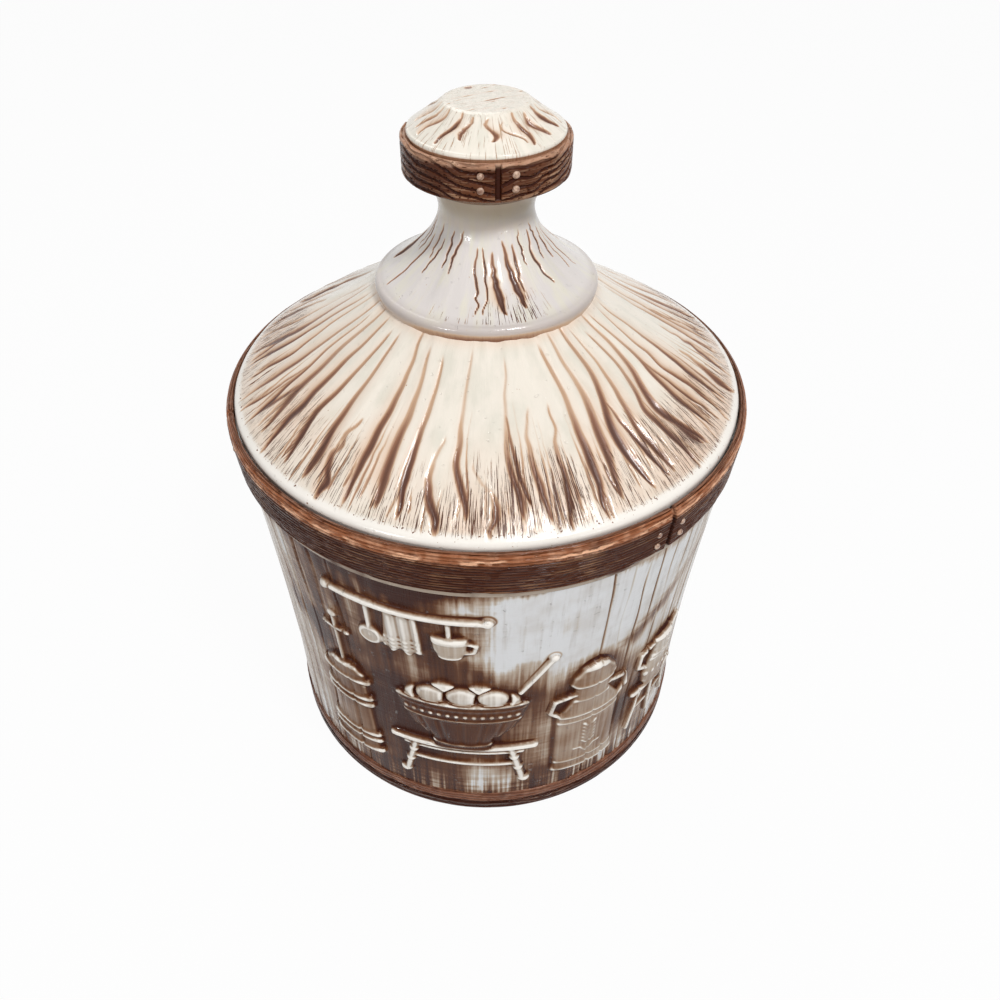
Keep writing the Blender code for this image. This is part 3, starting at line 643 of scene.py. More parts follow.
def plank_glaze(tone, name, side, worn, crown, crown_highlight):
    """Brown glaze on grained planks: dark in the grain lines and worn light between them; the crown is partly lightened
    by painted light from above and carries painted highlights.
    """
    glaze = Glaze(name, 0.02, 0.1)
    nodes, place = glaze.nodes, glaze.nodes.place()
    noise, ease_in, mix = nodes.noise, nodes.ease, nodes.mix
    grain, top, bead, roll = nodes.fields("grain crown bead roll")
    long_grain = noise(place, (55, 55, 1500), 4, 0.6, 1)
    patch = noise(place, 75, 3, 0.55, 5)
    ragged = noise(place, 210, 4, 0.6, 9)
    wear = ease_in(long_grain + 0.5 * patch, 0.72, 0.94)
    flat = mix(wear * (1 - grain), side, worn)
    flat = mix(ease_in(noise(place, 38, 2, 0.5, 3), 0.42, 0.62) * 0.55, flat, tone.umber)
    # Painted highlights: light streaks along the crown, then a ragged highlight line on its outer edge
    crest = mix(ease_in(ragged + 0.5 * long_grain, 0.66, 0.98) * 0.42, crown, crown_highlight)
    crest = mix(ease_in(patch + 0.3 * long_grain, 0.66, 0.84) * 0.75, crest, (0.085, 0.026, 0.012))
    crest = mix(ease_in(roll, 0.48, 0.62), crest, mix(patch, (0.15, 0.06, 0.032), (0.27, 0.13, 0.08)))
    line = roll + 0.34 * (ragged - 0.5)
    highlight_line = ease_in(line, 0, 0.04) * (1 - ease_in(line, 0.08, 0.13))
    crest = mix(highlight_line * ease_in(patch, 0.44, 0.56), crest, crown_highlight)
    seam = ease_in(roll, 0.42, 0.47) * (1 - ease_in(roll, 0.49, 0.54))
    # The crown colour is the hoop's own colour, partly lightened as painted light falling on its top; the side below
    # stays dark
    shade = mix(top, flat, mix(seam * 0.8, crest, tone.umber))
    shade = mix(ease_in(grain, 0.12, 0.7) * (1 - 0.7 * top), shade, tone.umber)
    # The pale bead is thin wash, partly a painted highlight along the bead's edge
    shade = mix(bead * ease_in(patch, 0.3, 0.55), shade, tone.sand)
    relief = 0.8 * long_grain * (1 - 0.7 * top) - 0.8 * grain + 0.5 * patch + (0.6 * ragged + 0.7 * highlight_line) * top
    return glaze.finish(shade, 0.14 + 0.18 * long_grain, relief, 0.00042)


def wall_glaze(tone):
    """Grey-white glaze brushed over a brown wash, upright and crosswise, with the relief wiped pale and whitened on its
    ridges as a painted highlight.
    """
    glaze = Glaze("wall_glaze", 0.02, 0.1)
    nodes, place = glaze.nodes, glaze.nodes.place()
    noise, ease_in, mix, most = nodes.noise, nodes.ease, nodes.mix, nodes.most
    wash, crease, raised = nodes.fields("wash crease raised")
    upright = noise(place, (1250, 1250, 30), 3, 0.6, 1)
    strand = noise(place, (420, 420, 16), 3, 0.6, 6)
    crosswise = noise(place, (30, 30, 1100), 3, 0.6, 2)
    cloud = noise(place, 48, 4, 0.55, 3)
    edge = 0.1 + 3.2 * wash * (1 - wash)
    strokes = (upright - 0.5) * 0.4 + (strand - 0.5) * 0.46 + (crosswise - 0.5) * 0.1
    amount = wash + strokes * edge * (0.3 + 0.7 * (1 - raised)) + (cloud - 0.5) * 0.34 * (0.35 + edge)
    amount = most(most(amount, 0), crease)
    ground = mix(ease_in(cloud, 0.42, 0.62), tone.pearl, (0.605, 0.59, 0.58))
    ground = mix(ease_in(strand + 0.4 * cloud, 0.66, 0.9) * 0.5, ground, (0.47, 0.44, 0.415))
    # Relief faces take the pale clay; their ridges turn near white as a painted highlight
    ground = mix(ease_in(raised, 0.72, 1), mix(raised * 0.85, ground, tone.clay), tone.edge)
    washed = nodes.ramp(amount, (0, (0.6, 0.57, 0.52)), (0.26, tone.sand), (0.48, (0.245, 0.145, 0.088)),
                        (0.72, (0.104, 0.034, 0.01)), (1, (0.036, 0.005, 0.0005)))
    shade = mix(ease_in(amount, 0.02, 0.24), ground, washed)
    ripple = noise(place, (260, 260, 760), 1, 0.5, 11)
    spot = ease_in(ripple, 0.6, 0.66) * ease_in(strand, 0.56, 0.64)
    relief = 0.4 * upright + 0.45 * crosswise + 0.8 * cloud - 0.25 * amount + 1.6 * spot
    rough = 0.12 + 0.12 * nodes.least(amount, 1) + 0.08 * upright
    return glaze.finish(shade, rough, relief, 0.00026, 0.02 + 0.9 * spot)


def plain_glaze(tone, name, spots):
    """Plain glaze with a faint mottle."""
    glaze = Glaze(name)
    nodes, place = glaze.nodes, glaze.nodes.place()
    cloud = nodes.noise(place, 60, 3, 0.55, 1)
    shade = nodes.mix(0.35 * cloud, tone.inside, tone.blush)
    shade = nodes.mix(nodes.ease(nodes.noise(place, 1100, 1, 0.5, 2), 0.8, 0.85) * spots, shade, tone.brown)
    return glaze.finish(shade, 0.16 + 0.12 * cloud, cloud, 0.0004)


def nail_glaze():
    """Tan glaze rubbed light on the nail heads."""
    glaze = Glaze("nail_glaze")
    nodes = glaze.nodes
    cloud = nodes.noise(nodes.place(), 700, 3, 0.6, 1)
    shade = nodes.mix(nodes.ease(cloud, 0.36, 0.62), (0.19, 0.085, 0.05), (0.52, 0.35, 0.25))
    return glaze.finish(shade, 0.2 + 0.2 * cloud, cloud, 0.0002)


def furrow_path(furrow, local):
    """Azimuth of a furrow's middle at shares of its length."""
    sway = furrow.bend * np.sin(furrow.phase + furrow.waves * pi * local)
    sway = sway + furrow.jitter * lattice(local * furrow.jitter_cells, local * 0, (64, 1), furrow.seed)
    share = furrow.start + local * (furrow.end - furrow.start)
    across = furrow.azimuth / TURN * SWEEP_CELLS
    common = furrow.sweep * lattice(across, share * 3.4, (SWEEP_CELLS, 32), SWEEP_SEED)
    return furrow.azimuth + sway + common + furrow.drift * local ** 1.5


def flank_fade(off, steep, gentle, power=2):
    """How a furrow fades from its middle, by the widths of its steep side and of its gentle side."""
    return np.exp(-np.abs(np.where(off > 0, off / gentle, off / steep)) ** power)


def furrow_fields(azimuth, share, radius, furrows):
    """Depth, wash and tint of tapered furrows on a grid of azimuths and shares along the slope."""
    depth, wash, tint = np.zeros((3, *np.broadcast(azimuth, share).shape))
    for furrow in furrows:
        near = np.flatnonzero(np.abs(wrapped(azimuth[0] - furrow.azimuth)) < furrow.reach)
        local = (share - furrow.start) / (furrow.end - furrow.start)
        inside = (local > 0) & (local < 1)
        local = np.clip(local, 0, 1)
        swell = np.where(local < furrow.peak, local / furrow.peak, (1 - local) / (1 - furrow.peak))
        width = furrow.width * (furrow.tip + (1 - furrow.tip) * np.clip(swell, 0, 1) ** 0.9)
        off = wrapped(azimuth[:, near] - furrow_path(furrow, local)) * radius / width * furrow.side
        power = furrow.low + (1 - furrow.low) * ease(local, furrow.rise, furrow.peak)
        power = power * ease(local, 0, 0.1) * ease(1 - local, 0, 0.07) * inside
        lean = furrow.lopsided
        soft = 1 + lean * 1.9
        core = flank_fade(off, 1, 0.9 + 0.35 * lean, 3)
        slope = flank_fade(off, 1 / (1 + lean), soft)
        for field, values in ((depth, furrow.depth * (0.45 * core + 0.55 * slope)),
                              (wash, furrow.dark * np.maximum(core, (0.22 + 0.14 * lean) * slope)),
                              (tint, furrow.glow * flank_fade(off, 1.6, soft * 1.8))):
            field[:, near] = np.maximum(field[:, near], values * power)
    return depth, wash, tint


def new_furrow(rng, azimuth, pitch, width, depth):
    """A furrow's values before they are told apart."""
    return SimpleNamespace(
        azimuth=azimuth, width=width, depth=depth, start=0, end=0.95, peak=0.8, tip=0.3, drift=0, sweep=0,
        bend=pitch * rng.uniform(-0.25, 0.25), phase=rng.uniform(0, TURN), waves=rng.uniform(0.8, 1.8),
        jitter=pitch * 0.05, jitter_cells=11, seed=int(rng.integers(1, 9999)), side=rng.choice([-1, 1]),
        low=0.22, dark=1, glow=0.8, lopsided=0.3, rise=0.15, reach=pitch * 3)


def cone_furrows(sizes):
    """Main furrows from the tier to near the edge, and short ones between them."""
    rng = np.random.default_rng(sizes.seed)
    draw, furrows, pitch = rng.uniform, [], TURN / sizes.cone_count
    for index in range(sizes.cone_count):
        azimuth, width = pitch * (index + draw(-0.1, 0.1)), sizes.cone_width * draw(0.75, 1.3)
        furrow = new_furrow(rng, azimuth, pitch, width, sizes.cone_depth * draw(0.7, 1.2))
        late, flank = rng.random() < 0.14, abs(sin(azimuth))
        vars(furrow).update(
            start=draw(0.3, 0.6) if late else draw(-0.08, 0.06), drift=pitch * draw(-0.14, 0.14),
            sweep=pitch * 0.3, jitter=pitch * draw(0.04, 0.12), jitter_cells=draw(6, 11), end=draw(0.9, 0.975),
            peak=draw(0.7, 0.86), dark=draw(0.8, 1.1), waves=draw(0.8, 2.4), tip=draw(0.16, 0.3),
            low=draw(0.17, 0.3) + 0.16 * flank, rise=draw(0.25, 0.45) * (1 - 0.5 * flank),
            width=width * (1 - 0.12 * flank), lopsided=min(0.9, max(0, flank - 0.15 + draw(-0.15, 0.2))))
        if flank > 0.4 and rng.random() < 0.85:
            furrow.side = 1 if sin(azimuth) > 0 else -1
        furrows.append(furrow)
        if not late and rng.random() < (0.3 if 0.1 < wrapped(azimuth) < 0.8 else 0.1):
            fork = SimpleNamespace(**vars(furrow))
            fork.start = draw(0.28, 0.55)
            fork.azimuth = float(furrow_path(furrow, (fork.start - furrow.start) / (furrow.end - furrow.start)))
            vars(fork).update(
                bend=0, sweep=0, jitter=pitch * 0.05, seed=furrow.seed + 1, width=furrow.width * 0.7,
                drift=pitch * draw(0.45, 0.7) * rng.choice([-1, 1]), end=furrow.end - draw(0, 0.08), low=0.5, rise=0.1)
            furrows.append(fork)
    pitch = TURN / sizes.fine_count
    for index in range(sizes.fine_count):
        azimuth, width = pitch * (index + draw(-0.45, 0.45)), sizes.cone_width * draw(0.18, 0.42)
        furrow = new_furrow(rng, azimuth, pitch, width, sizes.cone_depth * 0.4)
        vars(furrow).update(start=draw(0.25, 0.72), end=draw(0.86, 0.97), dark=draw(0.35, 0.75), glow=0.3)
        furrows.append(furrow)
    return furrows


def tier_furrows(sizes):
    """Thin, broken cracks down the bell, a few of them broad and soft."""
    rng = np.random.default_rng(sizes.seed + 1)
    draw, furrows, pitch = rng.uniform, [], TURN / sizes.tier_count
    for index in range(sizes.tier_count):
        azimuth = pitch * (index + draw(-0.35, 0.35))
        if abs(wrapped(azimuth)) < 0.5 and rng.random() < 0.55:
            continue
        bold = rng.random() < 0.06
        width = sizes.tier_width * (draw(1.9, 2.6) if bold else draw(0.65, 1.25))
        furrow = new_furrow(rng, azimuth, pitch, width, 0.0005 if bold else 0.00035)
        furrow.start = draw(0.18, 0.34) if bold else draw(0, 0.28)
        vars(furrow).update(
            end=furrow.start + (draw(0.45, 0.62) if bold else draw(0.38, 0.72)),
            peak=0.6 if bold else draw(0.3, 0.7), tip=0.15 if bold else 0.45,
            jitter=pitch * (0.04 if bold else draw(0.06, 0.15)), jitter_cells=draw(7, 13),
            bend=pitch * draw(-0.32, 0.32), low=0.6, dark=0.95 if bold else draw(0.9, 1.6),
            glow=0.7 if bold else 0.2, lopsided=0.2)
        furrows.append(furrow)
    for degrees, start, end in ((6, 0.3, 0.93), (18, 0.18, 0.9), (150, 0.25, 0.85), (258, 0.22, 0.9)):
        furrow = new_furrow(rng, radians(degrees), pitch, sizes.tier_width * 2.7, 0.0006)
        vars(furrow).update(start=start, end=end, peak=0.75, tip=0.16, low=0.45, dark=1.5, glow=0.9,
                            jitter=pitch * 0.07, jitter_cells=12, bend=pitch * 0.1, drift=pitch * 0.5)
        furrows.append(furrow)
    return furrows


def cap_furrows(sizes):
    """Curved furrows round the knob's cap."""
    rng = np.random.default_rng(sizes.seed + 2)
    draw, furrows, pitch = rng.uniform, [], TURN / sizes.cap_count
    for index in range(sizes.cap_count):
        azimuth = pitch * (index + draw(-0.22, 0.22))
        side = 1 if wrapped(azimuth) > 0 else -1
        furrow = new_furrow(rng, azimuth, pitch, sizes.cap_width * draw(0.6, 1.35), 0.0007)
        vars(furrow).update(
            start=draw(-0.1, 0.14), end=draw(0.7, 0.95), peak=draw(0.35, 0.7), bend=-pitch * draw(0.1, 0.26) * side,
            phase=draw(-0.5, 0.5), waves=draw(1.5, 2.3), drift=pitch * draw(0.1, 0.9) * side, tip=0.3, low=0.45,
            dark=draw(0.55, 1), jitter=pitch * 0.03, lopsided=draw(0.2, 0.9), glow=draw(0.3, 0.9))
        furrows.append(furrow)
    return furrows


def add_furrowed(scene, name, material, profile, azimuth, lift, spread=1, poles=False, replaces=None, **fields):
    """A furrowed piece of the lid. Its flow runs down the slope; the spread takes it to 0 at a pole."""
    mesh = turned_mesh(name, profile, azimuth, np.minimum(lift, 0), poles=poles)
    full = np.ones_like(lift)
    share = spread * full
    flow = np.stack([np.sin(azimuth) * share, -np.cos(azimuth) * share, rows_along(profile) * share], 2)
    add_values(mesh, flow=flow, **{key: values * full for key, values in fields.items()})
    add_piece(scene, mesh, material, "lid", replaces, weld=poles)


def make_cone(scene):
    """The furrowed cone with its plain rounded edge, closed by a back inside the lid's wall."""
    _, lid, at = places(scene)
    sizes, tone, under = scene.furrow_sizes, scene.glaze_colours, 0.003
    slope = math.degrees(math.atan2(lid.cone_rise, at.radius - lid.tier_radius))
    inner, edge = lid.tier_radius - under, lid.edge_round
    outer = [(radius, cone_height(scene, radius)) for radius in np.linspace(inner, at.radius - edge, 76)]
    middle = cone_height(scene, at.radius - edge / 2) - edge * sin(radians(90 - slope))
    outer = outer[:-1] + arc((at.radius - edge, middle), (edge, edge), 90 - slope, 0, 10)
    outer += [(at.radius, at.seat + 0.0004), (at.radius - 0.0004, at.seat)]
    profile = outer + [(at.radius - 0.004, at.seat), (inner, outer[0][1] - under)]
    ends = (-pi / 2, pi / 2, CONE_COLUMNS[0]), (pi / 2, 3 * pi / 2, CONE_COLUMNS[1])
    azimuth = np.concatenate([np.linspace(*end, endpoint=False) for end in ends])[None, :]
    radius, height = np.array(profile).T[:, :, None]
    shown = np.arange(len(profile))[:, None] < len(outer) - 1
    share = (radius - lid.tier_radius) / (at.radius - lid.tier_radius)

    def noise(around, step, offset):
        return ring_noise(azimuth, share, around, step, sizes.seed + offset)

    depth, wash, tint = furrow_fields(azimuth, share, radius, cone_furrows(sizes))
    region, strand = noise(11, 0.45, 20), noise(60, 0.8, 21)
    brush = ease(share + 0.1 * strand + 0.05 * region, 0.5, 0.84) * (1 - ease(share, 0.935, 0.965))
    brush = np.clip(brush * (0.68 + 0.2 * region + 0.28 * strand), 0, 1)
    brush = brush * (1 - 0.45 * ease(np.abs(np.sin(azimuth)), 0.3, 0.85))
    warm = ease(share + 0.12 * strand, 0.35, 0.95) * (0.34 + 0.34 * region) * (1 - ease(share, 0.94, 0.97))
    # The hump at the cone's top is painted shade: a tan tint where the tier's lip sits on the cone
    tint = np.maximum(tint, warm) + 0.4 * hump(share, -0.005, 0.035) + 0.3 * brush
    fade, near_edge = 1 - ease(share, 0.93, 0.985), ease(share, 0.9, 0.97)
    ripple = noise(150, 0.22, 30) * 0.00012 * ease(share, 0.1, 0.5) * fade
    rolling = (noise(64, 0.7, 31) - 1) * 0.00032 * fade
    lift = ripple + rolling - depth * fade + (noise(26, 3, 40) - 1) * 0.00018 * near_edge
    # below: painted shade under the cone's rounded edge
    below = 0.8 * (1 - ease(height, at.seat + 0.0016, at.seat + 0.0066)) * ease(share, 0.9, 0.96)
    material = furrow_glaze(tone, "thatch_glaze", tone.ivory, 300)
    add_furrowed(scene, "lid_cone", material, profile, azimuth, lift * shown, replaces="lid", wash=wash * shown,
                 tint=np.clip(tint, 0, 1.2) * shown, rim=ease(share, 0.93, 0.965) * shown, below=below,
                 brush=brush * shown)


def make_tier(scene):
    """The bell-shaped tier with its lip and the waisted neck above it."""
    _, lid, at = places(scene)
    sizes, tone, edge = scene.furrow_sizes, scene.glaze_colours, lid.tier_radius
    neck = [(lid.neck_radius + lid.neck_spread * share ** 2, at.neck + lid.neck_rise * share)
            for share in np.linspace(1, 0, 14)[:-1]]
    bell = [(bell_radius(scene, share), at.bell + lid.tier_rise * share) for share in np.linspace(1, 0, 66)]
    lip = arc((edge - 0.0019, at.tier + 0.0026), (0.0019, 0.0022), 80, -15, 10)
    outer = [(at.knob_foot_radius, at.knob_foot + 0.0015)]
    outer += dense(neck + bell + lip + [(edge - 0.0004, at.tier)], 0.0006)
    profile = outer + [(edge - 0.0006, at.tier - 0.001), (edge - 0.006, at.tier - 0.001),
                       (lid.neck_radius - 0.004, at.neck - 0.004), (lid.neck_radius - 0.004, at.knob_foot)]
    azimuth = round_turn(TIER_COLUMNS)
    radius, height = np.array(profile).T[:, :, None]
    index = np.arange(len(profile))[:, None]
    share = 1 - (height - at.bell) / (at.neck - at.bell)
    depth, wash, tint = furrow_fields(azimuth, share, radius, tier_furrows(sizes))
    on_bell = ease(share, 0.05, 0.2) * (1 - ease(share, 0.96, 1.03))
    ridges = (ring_noise(azimuth, share, 34, 0.8, sizes.seed + 50) - 1) * ease(share, 0.1, 0.35)
    lift = 0.0003 * ridges * (1 - ease(share, 0.8, 1)) - depth * on_bell
    region = ring_noise(azimuth, share, 7, 0.6, sizes.seed + 60)
    front_patch = 0.42 * hump(wrapped(azimuth), radians(16), radians(24)) * (0.8 + 0.6 * region)
    brush = ease(share, 0.6, 0.85) * (1 - ease(share, 0.97, 1.01))
    # step paints a faint darker line in the fold under the neck as painted shade; foot is a tan wash line at the lip's
    # foot, partly painted contact shade
    step = hump(height, at.neck - 0.001, 0.0016)
    foot = 1 - ease(height, at.tier + 0.0002, at.tier + 0.0034)
    shown = (index > 0) & (index < len(outer))
    add_furrowed(scene, "lid_tier", furrow_glaze(tone, "tier_glaze", tone.bone, 95), profile, azimuth, lift * shown,
                 wash=wash * on_bell + 0.03 * step + foot * (0.3 + 0.3 * region),
                 shadow=0.9 * ease(height, at.neck - 0.006, at.neck + 0.006),
                 tint=np.clip(tint * on_bell + 0.16 * step + 0.4 * foot, 0, 1),
                 brush=brush * np.maximum(front_patch, 0.35 * ease(region, 0.2, 0.7)),
                 # below: painted shade under the tier's lip
                 below=0.92 * ease(-height, -at.tier - 0.0066, -at.tier - 0.0026))


def make_cap(scene):
    """The knob's cap: a flat top, a slope with curved furrows and a plain lip."""
    _, lid, at = places(scene)
    sizes, tone, edge, flat_radius = scene.furrow_sizes, scene.glaze_colours, lid.knob_groove, lid.cap_top_radius
    top = [(0.0004, at.top + edge / 2), (flat_radius - 2 * edge, at.top + 0.0001), (flat_radius, at.top - edge / 2),
           (at.cap_radius - 1.6 * edge, at.cap + 0.0002)]
    lip = arc((at.cap_radius - 0.001, at.cap - 0.001), (0.001, 0.0012), 70, -20, 7)
    outer = [(0, at.top + edge / 2)] + dense(top + lip + [(at.cap_radius - 0.0003, at.band_top)], 0.00028)
    profile = outer + [(at.cap_radius - 0.0008, at.band_top - 0.0018), (0, at.band_top - 0.0018)]
    azimuth = round_turn(CAP_COLUMNS)
    radius, height = np.array(profile).T[:, :, None]
    share = (radius - flat_radius) / (at.cap_radius - 0.001 - flat_radius)
    depth, wash, tint = furrow_fields(azimuth, share, radius, cap_furrows(sizes))
    x, y = radius * np.sin(azimuth), -radius * np.cos(azimuth)
    scratch = lattice((x + 0.6 * y) / 0.0052 + 20, (y - 0.6 * x) / 0.001 + 20, (41, 97), sizes.seed + 70)
    flat = 1 - ease(radius, flat_radius - 0.003, flat_radius)
    mark = ease(scratch, 0.66, 0.8) * flat
    shown = ease(radius, 0.0002, 0.001) * (height > at.band_top - 0.0004)
    wave = ring_noise(azimuth, share, 17, 1, sizes.seed + 71) * ease(share, 0, 0.4) * (1 - ease(share, 0.8, 1))
    lift = (0.00022 * (wave - 1) * ease(share, -0.1, 0.3) - depth - 0.00015 * mark) * shown
    # groove: wash on the underside of the cap's lip down to the hoop, partly painted shade under the lip
    groove = (height < at.cap + 0.0004) * (1 - ease(height, at.band_top + 0.0001, at.band_top + 0.0006))
    add_furrowed(scene, "knob_cap", furrow_glaze(tone, "cap_glaze", tone.ivory, 70), profile, azimuth, lift,
                 spread=np.clip(radius / flat_radius, 0, 1), poles=True,
                 wash=np.clip(wash * shown + 0.6 * mark + 0.45 * groove, 0, 1),
                 tint=np.clip(tint * 0.9 + 0.3 * flat * ease(scratch, 0, 0.7), 0, 1), brush=0.15)


def make_lid_inside(scene):
    """The lid's flange and the plain glazed hollow under the cone."""
    _, lid, at = places(scene)
    drop = lid.thickness / cos(math.atan2(lid.cone_rise, at.radius - lid.tier_radius))
    out, low, chamfer = at.flange_radius, at.seat - lid.flange_height, lid.flange_chamfer
    inner, hollow, core = out - lid.flange_thickness, lid.neck_radius - lid.neck_wall, lid.neck_radius - 0.002
    hidden = [(0, at.neck + 0.004), (core, at.neck + 0.004), (core, at.neck - 0.006),
              (bell_radius(scene, 0.4) - 0.002, at.bell + 0.008), (lid.tier_radius - 0.006, at.tier)]
    hidden += [(radius, cone_height(scene, radius) - 0.002) for radius in np.linspace(0.042, at.radius - 0.008, 5)]
    hidden += [(at.radius - 0.004, at.seat + 0.002), (at.radius - 0.004, at.seat)]
    shown = [(out, at.seat), (out, low + chamfer), (out - chamfer, low), (inner + chamfer, low), (inner, low + chamfer)]
    shown += [(radius, cone_height(scene, radius) - drop) for radius in np.linspace(inner, lid.tier_radius, 14)]
    shown += [(bell_radius(scene, 0.45), at.tier + lid.tier_lip / 2), (hollow, at.bell + lid.tier_rise / 2),
              (hollow, at.neck - lid.neck_radius / 2), (hollow / 2, at.neck - hollow / 2), (0, at.neck - hollow / 2)]
    add_plain(scene, "lid_inside", "lid_inside_glaze", 0.6, hidden + dense(shown, 0.003), LID_INSIDE_COLUMNS, "lid")


def make_body(scene):
    """The inside of the jar, the lid's gallery and the recess under the foot."""
    jar, _, at = places(scene)
    bend, mouth, gallery = jar.inside_round, at.mouth_radius, at.gallery_radius + 0.0004
    corner = (at.waist_radius - jar.wall_thickness - bend, at.floor + bend)
    inside = [(0, at.floor)] + arc(corner, (bend, bend), -90, 0, 9)
    inside += [(wall_radius(scene, z) - jar.wall_thickness, z)
               for z in np.linspace(jar.waist_height, at.wall_top, 12)]
    inside += [(mouth, at.bead_top), (mouth, at.ledge - jar.mouth_chamfer), (mouth + jar.mouth_chamfer, at.ledge),
               (gallery, at.ledge)]
    ring = at.waist_radius + jar.foot_proud - jar.foot_edge - jar.foot_ring - jar.base_recess
    hidden = [(gallery, at.ledge - 0.003), (at.wall_top_radius - 0.002, at.wall_top)]
    hidden += [(wall_radius(scene, z) - 0.002, z) for z in np.linspace(0.13, 0.04, 6)]
    hidden += [(at.waist_radius - 0.003, 0.006), (ring + 0.002, jar.base_recess + 0.002), (ring, jar.base_recess)]
    profile = dense(inside, 0.004) + hidden + dense([hidden[-1], (0, jar.base_recess)], 0.008)[1:]
    add_plain(scene, "jar_inside", "inside_glaze", 1, profile, JAR_INSIDE_COLUMNS, "jar")


def add_plain(scene, name, glaze, spots, profile, columns, body):
    """A turned piece in plain glaze, closed at its poles."""
    mesh = turned_mesh(name, profile, round_turn(columns), poles=True)
    add_piece(scene, mesh, plain_glaze(scene.glaze_colours, glaze, spots), body, sharp=35)


class Form:
    """Heights of a motif over its own flat map: x along the wall, and up from its foot."""

    def __init__(self, x, up):
        self.x, self.up, self.height = x, up, np.zeros(np.broadcast(x, up).shape)

    def add(self, heights):
        """Raise the form to some heights."""
        self.height = np.maximum(self.height, heights)

    def bar(self, path, half_width, height):
        """A round bar through two or more points."""
        for start, end in zip(path, path[1:]):
            self.add(bar(self.x, self.up, start, end, half_width, height))

    def beam(self, half, up, half_width, height):
        """A level bar."""
        self.bar([(-half, up), (half, up)], half_width, height)

    def dome(self, centre, radii, height):
        """A round or oval boss."""
        self.add(dome(self.x, self.up, centre, radii, height))


def bar(x, up, start, end, half_width, height):
    """A round bar between two points."""
    run = (end[0] - start[0], end[1] - start[1])
    share = np.clip(((x - start[0]) * run[0] + (up - start[1]) * run[1]) / (run[0] ** 2 + run[1] ** 2), 0, 1)
    off = np.hypot(x - start[0] - share * run[0], up - start[1] - share * run[1]) / half_width
    return height * np.sqrt(np.clip(1 - off ** 2, 0, 1))


def dome(x, up, centre, radii, height):
    """A round or oval boss."""
    off = ((x - centre[0]) / radii[0]) ** 2 + ((up - centre[1]) / radii[1]) ** 2
    return height * np.sqrt(np.clip(1 - off, 0, 1))


def pot(x, up, radius, height, shares, depth):
    """A turned form pressed flat. The shares give its half width at each height."""
    widths, heights = np.array(shares).T
    half_width = np.interp(up, heights * height, widths * radius, left=0, right=0)
    side = np.clip(1 - (x / np.maximum(half_width, 1e-5)) ** 2, 0, 1) ** 0.42
    return depth * side * np.sqrt(np.clip(np.minimum(up, height - up) / 0.0012, 0, 1)) * (half_width > 1e-5)


def banded(form, up, height, bands, floor=0.0006):
    """A form with raised bands, each by its share of the height, how proud and how thick it is."""
    for share, proud, thick in bands:
        form = form + proud * hump(up, share * height, thick) * (form > floor)
    return form


def shape_churn(form, size):
    """A butter churn with staves and hoops, and the staff of its dasher."""
    x, up, radius, height, deep = form.x, form.up, size.churn_radius, size.churn_height, size.depth
    shares = ((1, 0), (0.92, 0.16), (0.91, 0.2), (0.81, 0.6), (0.8, 0.8), (0.7, 0.84), (0.8, 0.86), (0.8, 0.93),
              (0.5, 0.985), (0.2, 1))
    tub = pot(x, up, radius, height, shares, deep)
    stave = np.abs(np.sin(x / (radius * 0.3) * pi / 2 + 0.5 * pi))
    form.add(tub - 0.00045 * (1 - ease(stave, 0, 0.35)) * (tub > 0.0005) * (up < 0.8 * height))
    for share, width in ((0.05, 1.04), (0.17, 1), (0.24, 0.97), (0.6, 0.9), (0.67, 0.88), (0.86, 0.9)):
        half = radius * width
        hoop = bar(x, up, (-half, share * height), (half, share * height), 0.0014, 0.0011)
        curve = np.sqrt(np.clip(1 - (x / (half + 0.001)) ** 2, 0, 1)) ** 0.8
        form.add((hoop + deep * 0.88 * curve) * (hoop > 0))
    top = height + size.churn_staff
    form.bar([(0, height * 0.9), (0, top)], size.thin_rod / 2, 0.0015)
    form.dome((0, top), (0.0026, 0.0022), 0.0018)
    form.beam(0.006, height + 0.7 * size.churn_staff, 0.0012, 0.0016)


def shape_bench(form, size):
    """A low bench with splayed, turned legs and two rails."""
    wide, high, rod = size.bench_width, size.bench_height, size.rod / 2
    form.beam(wide / 2, high, rod, 0.0022)
    form.beam(0.42 * wide, high - 0.0042, 0.001, 0.0013)
    form.beam(0.375 * wide, high / 2, 0.0013, 0.0014)
    for side in (-1, 1):
        top, foot = side * 0.33 * wide, side * 0.42 * wide
        form.bar([(top, high), (foot, 0)], rod * 0.85, 0.002)
        for share in (0.3, 0.62):
            form.dome((top + (foot - top) * share, high * (1 - share)), (0.0024, 0.0018), 0.0025)
        form.dome((foot + side * 0.0006, 0.0004), (0.003, 0.002), 0.0024)


def shape_eggs(form, size):
    """Eggs heaped in the bowl, with a spoon standing in them."""
    radius, height, egg, lean = size.bowl_radius, size.bowl_height, size.egg_radius, size.spoon_lean
    start = (0.68 * radius, 0.9 * height)
    end = (start[0] + size.spoon_length * sin(lean), start[1] + size.spoon_length * cos(lean))
    form.bar([start, end], size.thin_rod / 2, 0.0015)
    form.dome(end, (0.0021, 0.0021), 0.0018)
    for across, rise, scale in ((-0.26, 1, 0.95), (0.28, 0.95, 0.95), (-0.66, 0.15, 0.9), (0.68, 0.1, 0.9),
                                (-0.45, 0.4, 1), (0.02, 0.45, 1.05), (0.48, 0.38, 1)):
        place, radii = (across * radius, height + rise * egg), (egg * scale, egg * 0.88 * scale)
        around = dome(form.x, form.up, place, (radii[0] + 0.0007, radii[1] + 0.0007), 1) > 0
        form.height = np.where(around, dome(form.x, form.up, place, radii, 0.0026 * scale), form.height)


